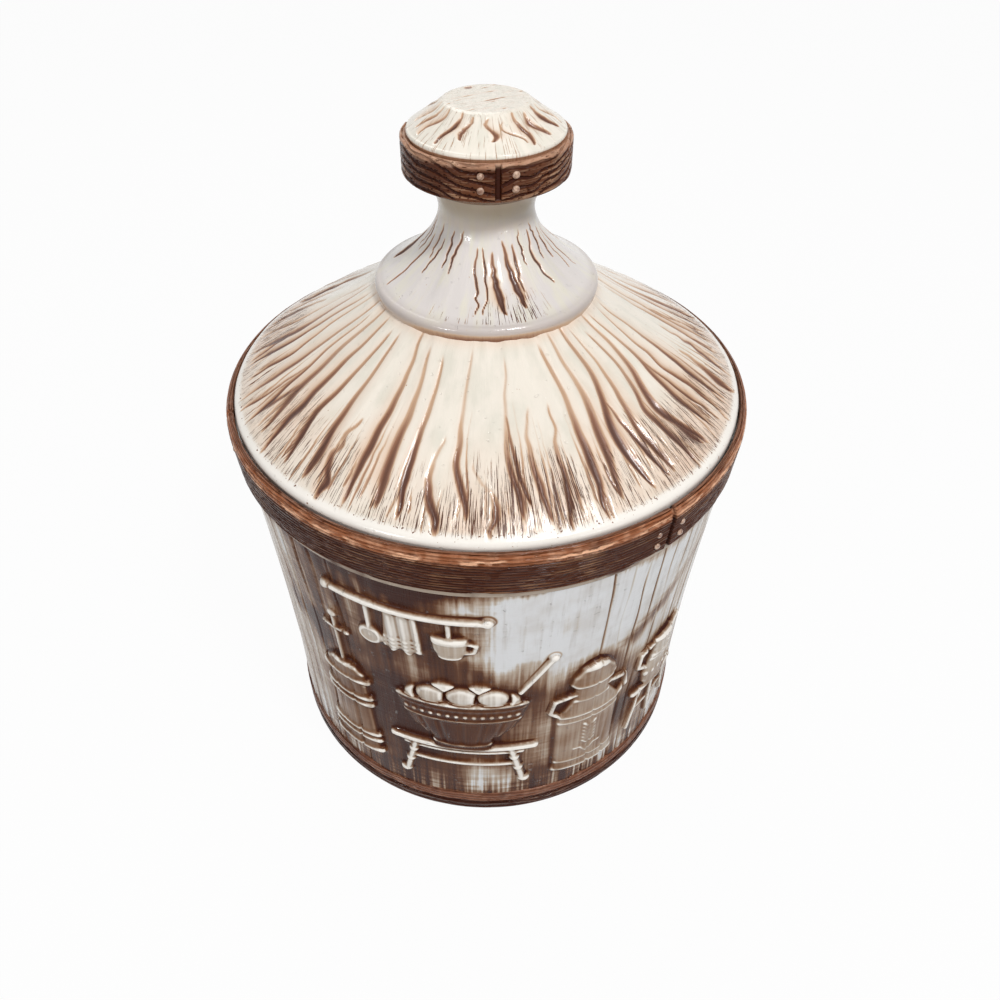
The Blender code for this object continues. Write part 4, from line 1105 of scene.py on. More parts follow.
def shape_bowl(form, size):
    """A fluted bowl with a beaded band."""
    x, up, radius, height = form.x, form.up, size.bowl_radius, size.bowl_height
    shares = ((0.46, 0), (0.5, 0.2), (0.78, 0.4), (0.93, 0.64), (1, 0.86), (1.06, 0.94), (1, 1))
    side = pot(x, up, radius, height, shares, size.depth)
    reach = x / (radius * (0.52 + 0.48 * np.clip(up / height, 0, 1)))
    flute = np.abs(np.sin(np.arcsin(np.clip(reach, -1, 1)) * 7))
    fluted = (up > 0.16 * height) & (up < 0.62 * height)
    side = side - 0.0006 * (1 - ease(flute, 0, 0.55)) * fluted * (side > 0.0004)
    beads = hump(up, 0.765 * height, 0.0014) * ease(np.abs(np.sin(x / 0.0034 * pi)), 0.25, 0.8)
    side = side + 0.0008 * beads * (side > 0.001)
    form.add(banded(side, up, height, ((0.985, 0.001, 0.0013), (0.88, 0.0004, 0.0009), (0.66, 0.0006, 0.0009),
                                       (0.13, 0.0005, 0.001), (0.02, 0.0006, 0.0011))))


def shape_can(form, size):
    """A milk can with bands, side handles and an ear of wheat on its front."""
    radius, height = size.can_radius, size.can_height
    shares = ((1.06, 0), (1.06, 0.05), (1, 0.08), (1, 0.54), (0.95, 0.58), (0.56, 0.7), (0.56, 0.8), (0.74, 0.84),
              (0.66, 0.9), (0.35, 0.97), (0.1, 1))
    bands = ((0.025, 0.0006, 0.0013), (0.1, 0.0006, 0.0009), (0.5, 0.0006, 0.0009), (0.555, 0.0007, 0.001),
             (0.69, 0.0005, 0.0009), (0.82, 0.0008, 0.0012), (0.97, 0.0007, 0.0016))
    can = banded(pot(form.x, form.up, radius, height, shares, size.depth), form.up, height, bands)
    ear = Form(form.x, form.up)
    ear.bar([(0, 0.15 * height), (0, 0.44 * height)], 0.0005, 0.0006)
    for side in (-1, 1):
        for rise in (0.26 + 0.034 * index for index in range(6)):
            ear.bar([(side * 0.0007, rise * height - 0.0008), (side * 0.0026, rise * height + 0.0016)], 0.001, 0.0008)
        leaf = [(0, 0.15 * height), (side * 0.0032, 0.21 * height), (side * 0.006, 0.21 * height)]
        ear.bar(leaf, 0.0008, 0.0006)
        grip = ((0.45, 0.74), (1.1, 0.72), (1.2, 0.62), (0.8, 0.54))
        form.bar([(side * radius * a, height * b) for a, b in grip], size.thin_rod / 2, 0.0019)
    form.add(can + ear.height * (can > 0.0008))


def shape_stool(form, size):
    """A jug on a three-legged stool."""
    wide, high, thin, x = size.stool_width, size.stool_height, size.thin_rod / 2, form.x
    form.beam(wide / 2, high, size.rod / 2, 0.0021)
    for top, foot in ((-0.3, -0.5), (0, 0), (0.3, 0.5)):
        form.bar([(top * wide, high), (foot * wide, 0)], thin, 0.0016)
    form.beam(0.38 * wide, 0.45 * high, 0.0009, 0.0012)
    up, radius, height = form.up - high, size.jug_radius, size.jug_height
    shares = ((0.62, 0), (0.92, 0.16), (1, 0.36), (0.72, 0.62), (0.58, 0.8), (0.66, 1))
    bands = ((0.03, 0.0005, 0.001), (0.6, 0.0006, 0.0008), (0.66, 0.0006, 0.0008), (0.97, 0.0008, 0.0011))
    jug = banded(pot(x, up, radius, height, shares, size.depth), up, height, bands)
    form.add(jug + dome(x % 0.0036 - 0.0018, up, (0, 0.34 * height), (0.0012, 0.0016), 0.0007) * (jug > 0.001))
    grip = ((-0.5, 0.92), (-1.3, 0.86), (-1.35, 0.6), (-0.8, 0.46))
    form.bar([(radius * a, high + height * b) for a, b in grip], thin, 0.0017)
    form.bar([(0.5 * radius, high + 0.95 * height), (0.95 * radius, high + 1.03 * height)], 0.0015, 0.0018)


def shape_rail(form, size):
    """A rail with a ladle, a striped cloth and a cup hung from it."""
    x, up, wide, hang, thin = form.x, form.up, size.rail_width, size.hang, size.thin_rod / 2
    form.beam(wide / 2, 0, size.rod / 2, 0.002)
    for side in (-1, 1):
        form.dome((side * wide / 2, 0), (0.0026, 0.0026), 0.0024)
    cloth_high = 0.025
    half = 0.0068 + 0.0012 * np.clip(-up / cloth_high, 0, 1)
    hem = ease(up + cloth_high + 0.0012 * np.sin(x * 900), 0, 0.0006) * (up < 0)
    folds = 0.0011 + 0.00042 * np.sin((x + 0.001) * 1250 + up * 30)
    stripe = 0.00035 * (hump(up, -0.0195, 0.0006) + hump(up, -0.0172, 0.0006) + hump(up, -0.0218, 0.0006))
    form.add(ease(half - np.abs(x + 0.001), 0, 0.0006) * hem * (folds + stripe))
    cup_x, cup_low = 0.275 * wide, -hang / 2 - size.cup_height
    form.bar([(cup_x, 0), (cup_x, -hang / 2)], thin, 0.0014)
    cup = pot(x - cup_x, up - cup_low, size.cup_radius, size.cup_height, ((0.6, 0), (0.9, 0.4), (1, 1)), 0.0022)
    bands = [(share, 0.0005, 0.0007) for share in (0.94, 0.8, 0.08)]
    form.add(banded(cup, up - cup_low, size.cup_height, bands, 0.0005))
    ear = ((0.006, 0.01), (0.0098, 0.0088), (0.0088, 0.0045), (0.0055, 0.004))
    form.bar([(cup_x + a, cup_low + b) for a, b in ear], 0.0011, 0.0014)
    ladle_x, ladle = -0.225 * wide, size.ladle_radius
    form.bar([(ladle_x, 0), (ladle_x, -hang)], thin, 0.0014)
    hollow = dome(x, up, (ladle_x, -hang + 0.0002), (ladle * 0.66, ladle * 0.62), 0.0012)
    form.add(dome(x, up, (ladle_x, -hang), (ladle, ladle), 0.0022) - hollow)


def relief_height(scene, azimuth, z):
    """Height of the whole relief over the wall, and how much wash stays on each form's face."""
    size = scene.relief_sizes
    bench_top = size.bench_base + size.bench_height
    forms = ((shape_churn, size.churn_azimuth, size.churn_base, 0.58),
             (shape_bench, size.bench_azimuth, size.bench_base, 0.24),
             (shape_eggs, size.bench_azimuth, bench_top, 0.14),
             (shape_bowl, size.bench_azimuth, bench_top, 0.8),
             (shape_can, size.can_azimuth, size.can_base, 0.48),
             (shape_stool, size.stool_azimuth, size.stool_base, 0.32),
             (shape_rail, size.rail_azimuth, size.rail_base, 0.24))
    height, stain = np.zeros((2, *np.broadcast(azimuth, z).shape))
    for shape, middle, base, amount in forms:
        form = Form(wrapped(azimuth - middle) * wall_radius(scene, z), z - base)
        shape(form, size)
        stain = np.where(form.height > height, amount, stain)
        height = np.maximum(height, form.height)
    return height, stain


def blurred(field, span):
    """A field smoothed by three passes of a moving average, along rows and columns."""
    span = max(1, span)
    window = 2 * span + 1
    for axis in (0, 1):
        for _ in range(3):
            ends = [(span + 1, span) if side == axis else (0, 0) for side in (0, 1)]
            total = np.cumsum(np.pad(field, ends, mode="edge"), axis=axis)
            high = np.take(total, range(window, total.shape[axis]), axis=axis)
            low = np.take(total, range(0, total.shape[axis] - window), axis=axis)
            field = (high - low) / window
    return field


def board_grooves(scene, azimuth, z):
    """Upright grooves between boards on the sides and the back."""
    rng = np.random.default_rng(scene.furrow_sizes.seed + 5)
    depth, place, index = np.zeros_like(azimuth + z), GROOVE_START, 0

    def wander(step, seed, offset=0):
        return lattice(z / step + offset, z * 0 + index, (64, 64), seed)

    while place < GROOVE_END:
        thick = 0.00052 + 0.00024 * wander(0.016, 33)
        off = (wrapped(azimuth - radians(place)) * BOARD_RADIUS + 0.0007 * wander(0.02, 31)) / thick
        depth = np.maximum(depth, np.exp(-off * off) * np.clip(0.75 + 0.6 * wander(0.03, 32, 7), 0, 1))
        close = place < GROOVES_CLOSE_TO or place > GROOVES_CLOSE_FROM
        place += rng.uniform(3.6, 6) if close else rng.uniform(5.5, 9.5)
        index += 1
    return depth


def wall_fields(scene, azimuth, z, spacing):
    """Lift, wash, crease and raised share over the wall."""
    seed, at = scene.furrow_sizes.seed, places(scene)[2]
    form, stain = relief_height(scene, azimuth, z)

    def blur(field, size):
        return blurred(field, round(size / spacing))

    def noise(around, step, offset, octaves=2):
        return ring_noise(azimuth, z, around, step, seed + offset, octaves)

    soft = blurred(form, 1) if spacing < 0.0006 else form
    near, wide = blur(soft, 0.0007), blur(soft, 0.0018)
    cover = np.clip(form / 0.0006, 0, 1)
    halo, pool = blur(cover, 0.0034), blur(cover, 0.0078)
    face = ease(soft, 0.00035, 0.0009)
    crease = np.maximum(ease(near - soft, 0.00004, 0.0003), 0.9 * ease(wide - soft, 0.00012, 0.0008))
    ridge = np.maximum(ease(soft - near, 0.00003, 0.00022), 0.7 * ease(soft - wide, 0.00015, 0.0009))
    deep = 1 - blur(face, 0.0011)
    upright, broad, crosswise = noise(620, 0.05, 80), noise(170, 0.08, 82), noise(46, 0.0012, 84)
    cloud, low_cloud, streak = noise(20, 0.026, 86, 3), noise(9, 0.06, 88), noise(105, 0.055, 92, 3)
    rolling, grooves = noise(40, 0.045, 90), board_grooves(scene, azimuth, z)
    degrees = np.degrees(wrapped(azimuth)) + 5.5 * cloud + 3 * low_cloud + 1.8 * broad + 1.2 * crosswise
    tall = z + 0.006 * cloud + 0.003 * broad
    left, right = degrees + 7 * streak, 66 - 60 * ease(tall, 0.05, 0.116)
    top = ease(left, -70, -28) * (1 - ease(degrees, -13, 9)) * ease(tall, 0.096, 0.116)
    top = top * (1 - 0.5 * ease(streak + 0.5 * cloud, 0.3, 1) * (1 - ease(degrees, -24, -12)))
    low = ease(left, -74, -30) * (1 - ease(degrees - right, -14, 8)) * (1 - ease(tall, 0.112, 0.128))
    sweep = hump(tall, 0.1 + 0.001 * (degrees - 30), 0.0065) * ease(degrees, 22, 40) * 0.56
    dark = np.maximum.reduce([0.84 * top, 0.7 * low, sweep])
    dark = dark * (1 - 0.8 * hump(degrees, -5.5, 4.2) * hump(tall, 0.141, 0.008))
    side = ease(np.abs(wrapped(azimuth)), radians(34), radians(62))
    patch = hump(degrees, 17, 11) * ease(tall, 0.104, 0.118) * 0.4
    dark = np.maximum(dark, side * (0.27 + 0.07 * low_cloud + 0.1 * broad)) - patch * (1 - top)
    foot = hump(z, scene.jar_sizes.foot_height + 0.004, 0.01)
    # The hump at the wall's top is painted shade: a darker band under the rim hoop
    dark = dark + hump(z, at.wall_top, 0.0035) * 0.35 + foot * (0.24 - 0.34 * dark) + (
        0.3 * cloud + 0.16 * streak) * ease(dark, 0.3, 0.7)
    dark = np.maximum(dark, ease(pool, 0.03, 0.42) * (0.72 + 0.25 * cloud))
    dark = np.maximum(dark, ease(halo, 0.06, 0.5) * (1 + 0.1 * cloud))
    dark = np.clip(dark + 0.1 * cloud * (1 - 0.6 * side), 0, 1)
    edge = 0.25 + 3 * dark * (1 - dark)
    wash = dark + (0.13 * upright + 0.04 * crosswise + 0.09 * broad) * (edge + 2.8 * foot)
    on_face = stain + 0.42 * deep + 0.16 * cloud + 0.06 * upright
    wash = wash * (1 - face) + on_face * face
    wash = np.clip(wash * (1 - ridge * face * (0.86 + 0.12 * broad + 0.1 * upright)), 0, 1)
    crease = np.maximum(crease * (0.55 + 0.45 * np.maximum(face, ease(halo, 0.02, 0.3))),
                        grooves * (0.78 + 0.15 * broad) * (1 - ease(halo, 0.3, 0.7)))
    lift = soft - 0.0006 * grooves + (0.0001 * broad + 0.00016 * rolling - 0.0002) * (1 - face)
    # The raised share: the relief's wiped faces, raised further on ridges for a painted highlight
    return lift, wash, crease, face * np.clip(0.75 - 0.45 * deep + 0.45 * ridge, 0, 1)


def make_wall(scene):
    """The wall: three fine sectors with the relief, and a plainer one round the back."""
    material, at = wall_glaze(scene.glaze_colours), places(scene)[2]
    for name, start, end, columns, rows in SECTORS:
        heights = np.linspace(at.wall_top + 0.0006, scene.jar_sizes.foot_height - 0.0006, rows)
        count = columns + 1 + 2 * MARGIN
        azimuth = (radians(start) + radians(end - start) / columns * (np.arange(count) - MARGIN))[None, :]
        fields = wall_fields(scene, azimuth, heights[:, None], (heights[0] - heights[-1]) / (rows - 1))
        profile = [(wall_radius(scene, height), height) for height in heights]
        profile += [(wall_radius(scene, height) - WALL_DEPTH, height)
                    for height in np.linspace(heights[-1], heights[0], 5)]
        keep, pad = slice(MARGIN, count - MARGIN), np.zeros((len(profile) - rows, count))
        lift, wash, crease, raised = (np.vstack([field, pad])[:, keep] for field in fields)
        mesh = turned_mesh(name, profile, azimuth[0, keep], lift, wedge=True)
        add_values(mesh, wash=wash, crease=crease, raised=raised)
        add_piece(scene, mesh, material, "jar", "jar" if name == "wall_back" else None, weld=False)


def new_tree(name, **inputs):
    """The nodes of a geometry tree with named inputs, and its input sockets as values by name."""
    tree = bpy.data.node_groups.new(name, "GeometryNodeTree")
    kinds = {int: "NodeSocketInt", float: "NodeSocketFloat", type(None): "NodeSocketMaterial"}
    tree.interface.new_socket("Geometry", in_out="INPUT", socket_type="NodeSocketGeometry")
    for label, value in inputs.items():
        socket = tree.interface.new_socket(label.replace("_", " "), in_out="INPUT", socket_type=kinds[type(value)])
        if value is not None:
            socket.default_value = value
    tree.interface.new_socket("Geometry", in_out="OUTPUT", socket_type="NodeSocketGeometry")
    nodes = Nodes(tree)
    entry = nodes.node("NodeGroupInput")
    return nodes, {socket.name: Value(nodes, socket) for socket in entry.outputs if socket.name}


def end_tree(nodes, geometry, material):
    """Realize the instances, set the material and hand the result out."""
    real = nodes.get("GeometryNodeRealizeInstances", None, {0: geometry})
    done = nodes.get("GeometryNodeSetMaterial", None, {"Geometry": real, "Material": material})
    nodes.node("NodeGroupOutput", None, {0: done})
    return nodes.tree


def run_tree(scene, tree, mesh, **values):
    """Run a tree on a mesh and return the plain mesh that it makes."""
    item = bpy.data.objects.new(mesh.name, mesh)
    scene.collection.objects.link(item)
    step = item.modifiers.new("Build", "NODES")
    step.node_group = tree
    for socket in tree.interface.items_tree:
        key = socket.name.replace(" ", "_")
        if socket.item_type == "SOCKET" and socket.in_out == "INPUT" and key in values:
            step[socket.identifier] = values[key]
    bpy.context.view_layer.update()
    made = bpy.data.meshes.new_from_object(item.evaluated_get(bpy.context.evaluated_depsgraph_get()))
    name = mesh.name
    bpy.data.objects.remove(item, do_unlink=True)
    bpy.data.meshes.remove(mesh)
    made.name = name
    return made


def hoop_tree(joints):
    """A hoop of planks: rows of a profile turned round, with grain lines that rise away from each joint."""
    inputs = {f"Joint_{index + 1}": joint for index, joint in enumerate(joints)}
    nodes, given = new_tree("plank_hoop", Columns=600, Grain_Pitch=0.002, Grain_Depth=0.0003, Grain_Rise=0.04,
                            Wander=3.0, Joint_Width=0.0018, Joint_Depth=0.0012, Seed=1.0, Material=None, **inputs)
    math_node, most, ease_in, noise, join = nodes.math, nodes.most, nodes.ease, nodes.noise, nodes.join
    source, position = given["Geometry"], nodes.get("GeometryNodeInputPosition")
    count = nodes.get("GeometryNodeAttributeDomainSize", {"component": "MESH"}, {0: source})
    kept = nodes.get("GeometryNodeMeshGrid", None, {0: 1, 1: 1, 2: given["Columns"] + 1, 3: count + 1})
    across, along, _ = nodes.split(position)
    azimuth = (across + 0.5) * TURN
    index = math_node("FLOORED_MODULO", math_node("ROUND", (0.5 - along) * count), count)
    index = nodes.get("FunctionNodeFloatToInt", {"rounding_mode": "ROUND"}, {0: index})

    def sampled(field, kind):
        settings = {"data_type": kind, "domain": "POINT"}
        return nodes.get("GeometryNodeSampleIndex", settings, {0: source, 1: field, 2: index})

    def stored(name, kind="FLOAT"):
        return sampled(nodes.get("GeometryNodeInputNamedAttribute", {"data_type": kind}, {0: name}), kind)

    radius, _, height = nodes.split(sampled(position, "FLOAT_VECTOR"))
    out, _, rise = nodes.split(stored("facing", "FLOAT_VECTOR"))
    reach, shown = stored("reach"), stored("shown")
    sine, cosine = math_node("SINE", azimuth), math_node("COSINE", azimuth)

    def ring(around, up):
        return join(sine * around, cosine * around, reach * up)

    nearest = slot = 0 * radius
    for order, name in enumerate(inputs):
        off = math_node("WRAP", azimuth - given[name.replace("_", " ")], pi, -pi)
        off = math_node("ABSOLUTE", off) * radius
        nearest = nodes.least(nearest, off) if order else off
        slot = most(slot, 1 - ease_in(off / given["Joint Width"], 0.36, 0.62))
    wander = noise(ring(given["Wander"], 60), 1, 1, 0.4, given["Seed"]) - 0.5
    lines = (reach + given["Grain Rise"] * nearest) / given["Grain Pitch"] + 3.4 * wander
    rough = noise(ring(14, 900), 1, 3, 0.6, given["Seed"] + 3)
    line = ease_in((0.5 + 0.5 * math_node("COSINE", lines * TURN)) * (0.55 + 0.95 * rough), 0.6, 0.98)
    fine = noise(ring(22, 2300), 1, 2, 0.5, given["Seed"] + 6)
    line = most(line, 0.75 * ease_in(fine, 0.56, 0.68))
    worn = given["Grain Depth"] * (0.75 * line + 0.35 * (1 - rough))
    drop = most(worn, given["Joint Depth"] * slot) * shown
    radius = radius - out * drop
    fields = {"grain": most(line, slot) * shown, **{name: stored(name) for name in ("crown", "bead", "roll")}}
    for name, value in fields.items():
        kept = nodes.get("GeometryNodeStoreNamedAttribute", {"data_type": "FLOAT", "domain": "POINT"},
                         {0: kept, 2: name, 3: value})
    place = join(radius * sine, 0 - radius * cosine, height - rise * drop)
    moved = nodes.get("GeometryNodeSetPosition", None, {"Geometry": kept, "Position": place})
    merged = nodes.get("GeometryNodeMergeByDistance", None, {"Geometry": moved, "Distance": 0.000001})
    return end_tree(nodes, merged, given["Material"])


def make_hoop(scene, name, profile, joints, body, looks, **values):
    """One plank hoop as a finished piece. The looks are what its tree and glaze read on its profile."""
    mesh = bpy.data.meshes.new(name)
    mesh.from_pydata([(radius, 0, z) for radius, z in profile], [], [])
    normals = profile_normals(profile)
    facing = np.stack([normals[:, 0], 0 * normals[:, 0], normals[:, 1]], 1)[:, None, :]
    full = np.ones(len(profile))
    add_values(mesh, facing=facing, reach=rows_along(profile), **{key: value * full for key, value in looks.items()})
    mesh = run_tree(scene, hoop_tree(joints), mesh, **values)
    for layer in ("facing", "reach", "shown"):
        if layer in mesh.attributes:
            mesh.attributes.remove(mesh.attributes[layer])
    add_piece(scene, mesh, values["Material"], body, weld=False)


def make_nails(scene, name, radius, joints, low, height, body):
    """Domed nail heads in two rows on both sides of each joint, each turned to face out from the axis."""
    nodes, given = new_tree("nail_heads", Radius=0.0012, Flatness=0.6, Seed=1, Material=None)
    head = nodes.get("GeometryNodeMeshUVSphere", None, {0: 20, 1: 12, 2: given["Radius"]})
    outwards = nodes.scaled(nodes.get("GeometryNodeInputPosition"), (1, 1, 0))
    turned = nodes.get("FunctionNodeAlignRotationToVector", {"axis": "Z"}, {"Vector": outwards})
    size = nodes.get("FunctionNodeRandomValue", {"data_type": "FLOAT"}, {2: 0.88, 3: 1.06, "Seed": given["Seed"]}, 1)
    placed = nodes.get("GeometryNodeInstanceOnPoints", None, {
        "Points": given["Geometry"], "Instance": head, "Rotation": turned,
        "Scale": nodes.join(size, size, given["Flatness"])})
    tree = end_tree(nodes, placed, given["Material"])
    sizes, points = scene.furrow_sizes, []
    out = radius + sizes.nail_proud - sizes.nail_radius * 0.75
    for azimuth in [joint + side * sizes.nail_spread / radius for joint in joints for side in (-1, 1)]:
        points += [(out * sin(azimuth), -out * cos(azimuth), low + height * share) for share in (0.3, 0.68)]
    mesh, material = bpy.data.meshes.new(name), nail_glaze()
    mesh.from_pydata(points, [], [])
    made = run_tree(scene, tree, mesh, Radius=sizes.nail_radius, Flatness=0.75, Seed=sizes.seed, Material=material)
    add_piece(scene, made, material, body)


def make_rim_hoop(scene):
    """The rim hoop with its rounded crown, and the pale bead under it."""
    jar, _, at = places(scene)
    sizes, tone, high, wide = scene.furrow_sizes, scene.glaze_colours, jar.crown_height, jar.crown_width
    crown = arc((jar.rim_radius - wide, jar.height - high), (wide, high), 100, 0, 18)
    crown[0] = (crown[0][0], jar.height - 0.0001)
    outside = [(at.gallery_radius, at.ledge - 0.001), (at.gallery_radius, jar.height - high / 6)] + crown
    outside = dense(outside + [(jar.rim_radius - jar.hoop_taper, at.bead_top + 0.0003)], 0.00045)
    middle = (at.wall_top_radius - 0.0006, at.wall_top + jar.bead_height / 2)
    bead = arc(middle, (jar.bead_proud + 0.0006, jar.bead_height / 2), 70, -75, 9)
    bead = [(at.wall_top_radius + jar.bead_proud + 0.0006, at.bead_top)] + bead
    back = at.wall_top_radius - 0.003
    profile = outside + bead + [(back, at.wall_top - 0.0005), (back, at.ledge - 0.001)]
    r, z = np.array(profile).T
    index = np.arange(len(profile))
    first = index < len(outside)
    looks = {"shown": first * ease(r, at.gallery_radius - 0.001, at.gallery_radius + 0.0006) * (z > at.bead_top),
             "crown": ease(z, jar.height - 1.25 * high, jar.height - 0.65 * high) * first,
             "bead": (z <= at.bead_top + 0.0001) & (index < len(outside) + len(bead)),
             "roll": np.clip(1 - (r - at.gallery_radius) / (jar.rim_radius - at.gallery_radius), 0, 1)}
    # The rim's copper crown is partly painted light from above; copper_highlight is a painted highlight
    material = plank_glaze(tone, "rim_glaze", tone.plank, (0.26, 0.13, 0.062), tone.copper, tone.copper_highlight)
    make_hoop(scene, "rim_hoop", profile, RIM_JOINTS, "jar", looks, Columns=1080, Grain_Pitch=sizes.rim_pitch,
              Grain_Depth=sizes.grain_depth, Grain_Rise=0.012, Joint_Width=sizes.joint_width,
              Joint_Depth=sizes.joint_depth, Seed=2.0, Material=material)
    make_nails(scene, "rim_nails", jar.rim_radius - jar.hoop_taper / 2, RIM_JOINTS, at.bead_top,
               jar.hoop_height - high, "jar")


def make_foot_hoop(scene):
    """The foot hoop of two rolls, and the bare ring that the jar stands on."""
    jar, _, at = places(scene)
    out, high, roll, groove = at.waist_radius + jar.foot_proud, jar.foot_height, jar.foot_height / 2, jar.foot_groove
    base = out - jar.foot_edge
    outside = [(at.waist_radius - 0.0008, high + 0.0003), (at.waist_radius, high)]
    outside += arc((out - 0.0012, high - 0.0014), (0.0012, 0.0014), 80, 0, 5)
    outside += [(out, roll + groove), (out - groove, roll), (out, roll - groove)]
    outside = dense(outside + arc((base, jar.foot_edge), (jar.foot_edge, jar.foot_edge), 0, -90, 7), 0.0005)
    ring = base - jar.foot_ring
    profile = outside + [(ring, 0), (ring - jar.base_recess, jar.base_recess + 0.0002),
                         (ring - jar.base_recess, 0.004), (at.waist_radius - 0.004, high)]
    z = np.array(profile)[:, 1]
    first = np.arange(len(profile)) < len(outside)
    looks = {"shown": first * ease(z, 0.0002, 0.002) * (1 - ease(z, high - 0.0002, high + 0.0002)),
             "crown": ease(z, roll - 0.0004, roll + 0.0012) * first * 0.75, "bead": 0, "roll": 0.3}
    # The foot's crown colour on its upper roll is partly painted light from above; the last colour is a painted
    # highlight
    material = plank_glaze(scene.glaze_colours, "foot_glaze", (0.07, 0.028, 0.018), (0.2, 0.11, 0.075),
                           (0.24, 0.095, 0.052), (0.5, 0.26, 0.16))
    make_hoop(scene, "foot_hoop", profile, [], "jar", looks, Columns=760, Grain_Pitch=0.0023,
              Grain_Depth=scene.furrow_sizes.grain_depth, Grain_Rise=0.0, Seed=5.0, Material=material)


def make_knob_hoop(scene):
    """The knob's hoop of two planks, with the chamfer below it."""
    _, lid, at = places(scene)
    sizes, edge, out, foot = scene.furrow_sizes, lid.knob_groove, lid.knob_radius, at.knob_foot_radius
    outside = [(at.cap_radius - edge, at.band_top - edge), (at.cap_radius + edge, at.band_top - 0.0001)]
    outside += arc((out - 0.001, at.band_top - 0.001), (0.001, 0.001), 90, 0, 5)
    outside = dense(outside + arc((out - 0.0008, at.band + 0.0006), (0.0008, 0.001), 0, -50, 4), 0.0003)
    profile = outside + dense([outside[-1], (foot, at.knob_foot)], 0.0006)[1:]
    profile += [(foot - 0.003, at.knob_foot + 0.001), (foot - 0.003, at.band_top - 0.003)]
    r, z = np.array(profile).T
    first = np.arange(len(profile)) < len(outside)
    looks = {"shown": first * ease(r, at.cap_radius, at.cap_radius + 0.0012),
             "crown": ease(z, at.band_top - 0.0022, at.band_top - 0.0009) * first, "bead": 0, "roll": 0.25}
    # The knob's lighter crown colour is partly painted light from above on the hoop's top; the last colour is a painted
    # highlight
    material = plank_glaze(scene.glaze_colours, "knob_glaze", (0.12, 0.04, 0.017), (0.46, 0.27, 0.16),
                           (0.4, 0.21, 0.13), (0.74, 0.52, 0.37))
    make_hoop(scene, "knob_hoop", profile, KNOB_JOINTS, "lid", looks, Columns=620, Grain_Pitch=sizes.knob_pitch,
              Grain_Depth=sizes.grain_depth * 1.5, Grain_Rise=0.16, Wander=2.2, Joint_Width=sizes.joint_width,
              Joint_Depth=sizes.joint_depth, Seed=9.0, Material=material)
    make_nails(scene, "knob_nails", out, KNOB_JOINTS, at.band, lid.band_height, "lid")


def make_floor(scene):
    """A plain pale floor that keeps the jar's shadow."""
    stage, mesh, material = scene.stage_sizes, bpy.data.meshes.new("floor"), bpy.data.materials.new("floor")
    half = stage.floor_size / 2
    mesh.from_pydata([(-half, -half, 0), (half, -half, 0), (half, half, 0), (-half, half, 0)], [], [(0, 1, 2, 3)])
    floor = bpy.data.objects.new("floor", mesh)
    scene.collection.objects.link(floor)
    nodes = fresh_nodes(material)
    plain = nodes.get("ShaderNodeBsdfDiffuse", None, {0: (*stage.floor_colour, 1)})
    glow = nodes.get("ShaderNodeEmission", None, {0: (1, 1, 1, 1), 1: 1})
    mixed = nodes.get("ShaderNodeMixShader", None, {0: nodes.seen() * stage.floor_glow, 1: plain, 2: glow})
    nodes.node("ShaderNodeOutputMaterial", None, {0: mixed})
    mesh.materials.append(material)


def make_world(scene):
    """Soft light all round, white where the camera sees it."""
    scene.world = bpy.data.worlds.new("surround")
    nodes, level = fresh_nodes(scene.world), scene.stage_sizes.world
    glow = nodes.get("ShaderNodeBackground", None, {0: (1, 1, 1, 1), 1: level + nodes.seen() * (1 - level)})
    nodes.node("ShaderNodeOutputWorld", None, {0: glow})


def make_lamps(scene):
    """Square lamps that face the jar."""
    for name, place, size in LAMPS:
        light = bpy.data.lights.new(name, "AREA")
        light.size, light.energy = size, getattr(scene.stage_sizes, name)
        lamp = bpy.data.objects.new(name, light)
        lamp.location = place
        x, y, drop = place[0], place[1], place[2] - LAMP_AIM
        lamp.rotation_euler = (math.atan2(math.hypot(x, y), drop), 0, math.atan2(x, -y))
        scene.collection.objects.link(lamp)


def make_camera(scene):
    """The camera at the photograph's viewing angle."""
    stage, view = scene.stage_sizes, bpy.data.cameras.new("camera")
    view.sensor_width = 36
    view.lens = stage.focal_share * view.sensor_width
    view.shift_x = stage.shift
    view.clip_start = 0.01
    scene.camera = bpy.data.objects.new("camera", view)
    scene.camera.location = (0, -stage.camera_back, stage.camera_height)
    scene.camera.rotation_euler = (pi / 2 - stage.camera_drop, 0, 0)
    scene.collection.objects.link(scene.camera)


def run(makers, context):
    """Run the functions that make one group of pieces."""
    for make in makers:
        make(context.scene)
    return {"FINISHED"}


class COOKIEJAR_OT_wall(Operator):
    """Build the wall with its relief"""
    bl_idname = "cookiejar.wall"
    bl_label = "Wall"

    def execute(self, context):
        return run((make_wall,), context)


class COOKIEJAR_OT_body(Operator):
    """Build the inside of the jar and its gallery"""
    bl_idname = "cookiejar.body"
    bl_label = "Inside"

    def execute(self, context):
        return run((make_body,), context)


class COOKIEJAR_OT_hoops(Operator):
    """Build the plank hoops at the rim and the foot, with their nails"""
    bl_idname = "cookiejar.hoops"
    bl_label = "Rim and Foot Hoops"

    def execute(self, context):
        return run((make_rim_hoop, make_foot_hoop), context)


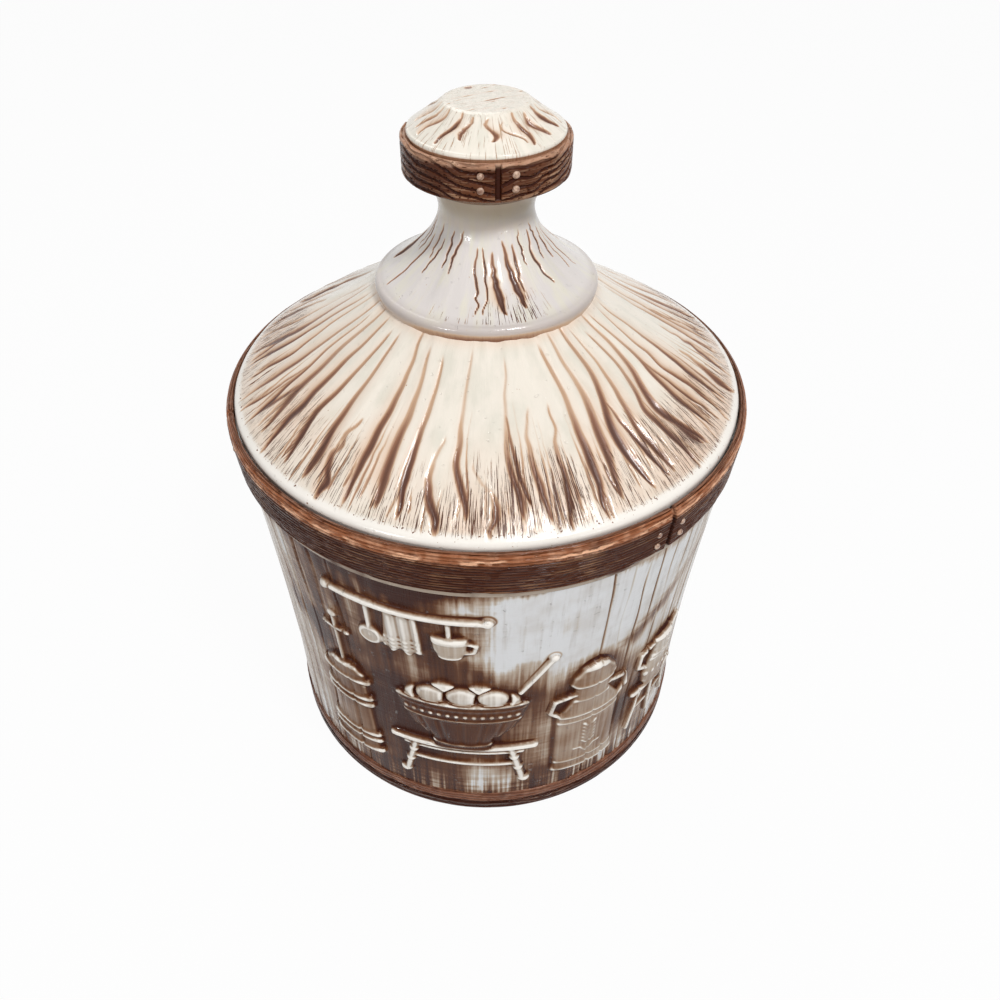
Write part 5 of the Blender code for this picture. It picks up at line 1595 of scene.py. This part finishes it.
class COOKIEJAR_OT_lid(Operator):
    """Build the furrowed cone, the tier with its neck, and the lid's inside"""
    bl_idname = "cookiejar.lid"
    bl_label = "Lid"

    def execute(self, context):
        return run((make_cone, make_tier, make_lid_inside), context)


class COOKIEJAR_OT_knob(Operator):
    """Build the knob's cap and its plank hoop, with the nails"""
    bl_idname = "cookiejar.knob"
    bl_label = "Knob"

    def execute(self, context):
        return run((make_cap, make_knob_hoop), context)


class COOKIEJAR_OT_stage(Operator):
    """Add the camera, the floor, the surround and the lamps"""
    bl_idname = "cookiejar.stage"
    bl_label = "Stage"

    def execute(self, context):
        context.scene.view_settings.view_transform = "Standard"
        return run((make_camera, make_floor, make_world, make_lamps), context)


class COOKIEJAR_PT_panel(Panel):
    """Lists the steps that build the looks"""
    bl_label = "Cookie Jar"
    bl_idname = "COOKIEJAR_PT_panel"
    bl_space_type = "VIEW_3D"
    bl_region_type = "UI"
    bl_category = "Cookie Jar"

    def draw(self, context):
        for operator in OPERATORS:
            self.layout.operator(operator.bl_idname)


GROUPS = {"jar_sizes": JarSizes, "lid_sizes": LidSizes, "furrow_sizes": FurrowSizes, "relief_sizes": ReliefSizes,
          "glaze_colours": GlazeColours, "stage_sizes": StageSizes}
OPERATORS = (COOKIEJAR_OT_wall, COOKIEJAR_OT_body, COOKIEJAR_OT_hoops, COOKIEJAR_OT_lid, COOKIEJAR_OT_knob,
             COOKIEJAR_OT_stage)
CLASSES = (*GROUPS.values(), *OPERATORS, COOKIEJAR_PT_panel)


def register():
    """Register the groups, the operators and the panel."""
    for item in CLASSES:
        bpy.utils.register_class(item)
    for name, group in GROUPS.items():
        setattr(bpy.types.Scene, name, PointerProperty(type=group))


def unregister():
    """Remove what register added."""
    for name in GROUPS:
        delattr(bpy.types.Scene, name)
    for item in reversed(CLASSES):
        bpy.utils.unregister_class(item)


def main():
    """Build every piece and the stage."""
    for item in list(bpy.data.objects):
        if item.type in {"CAMERA", "LIGHT"}:
            bpy.data.objects.remove(item, do_unlink=True)
    register()
    for operator in OPERATORS:
        getattr(bpy.ops.cookiejar, operator.bl_idname.split(".")[1])()


if __name__ == "__main__":
    main()
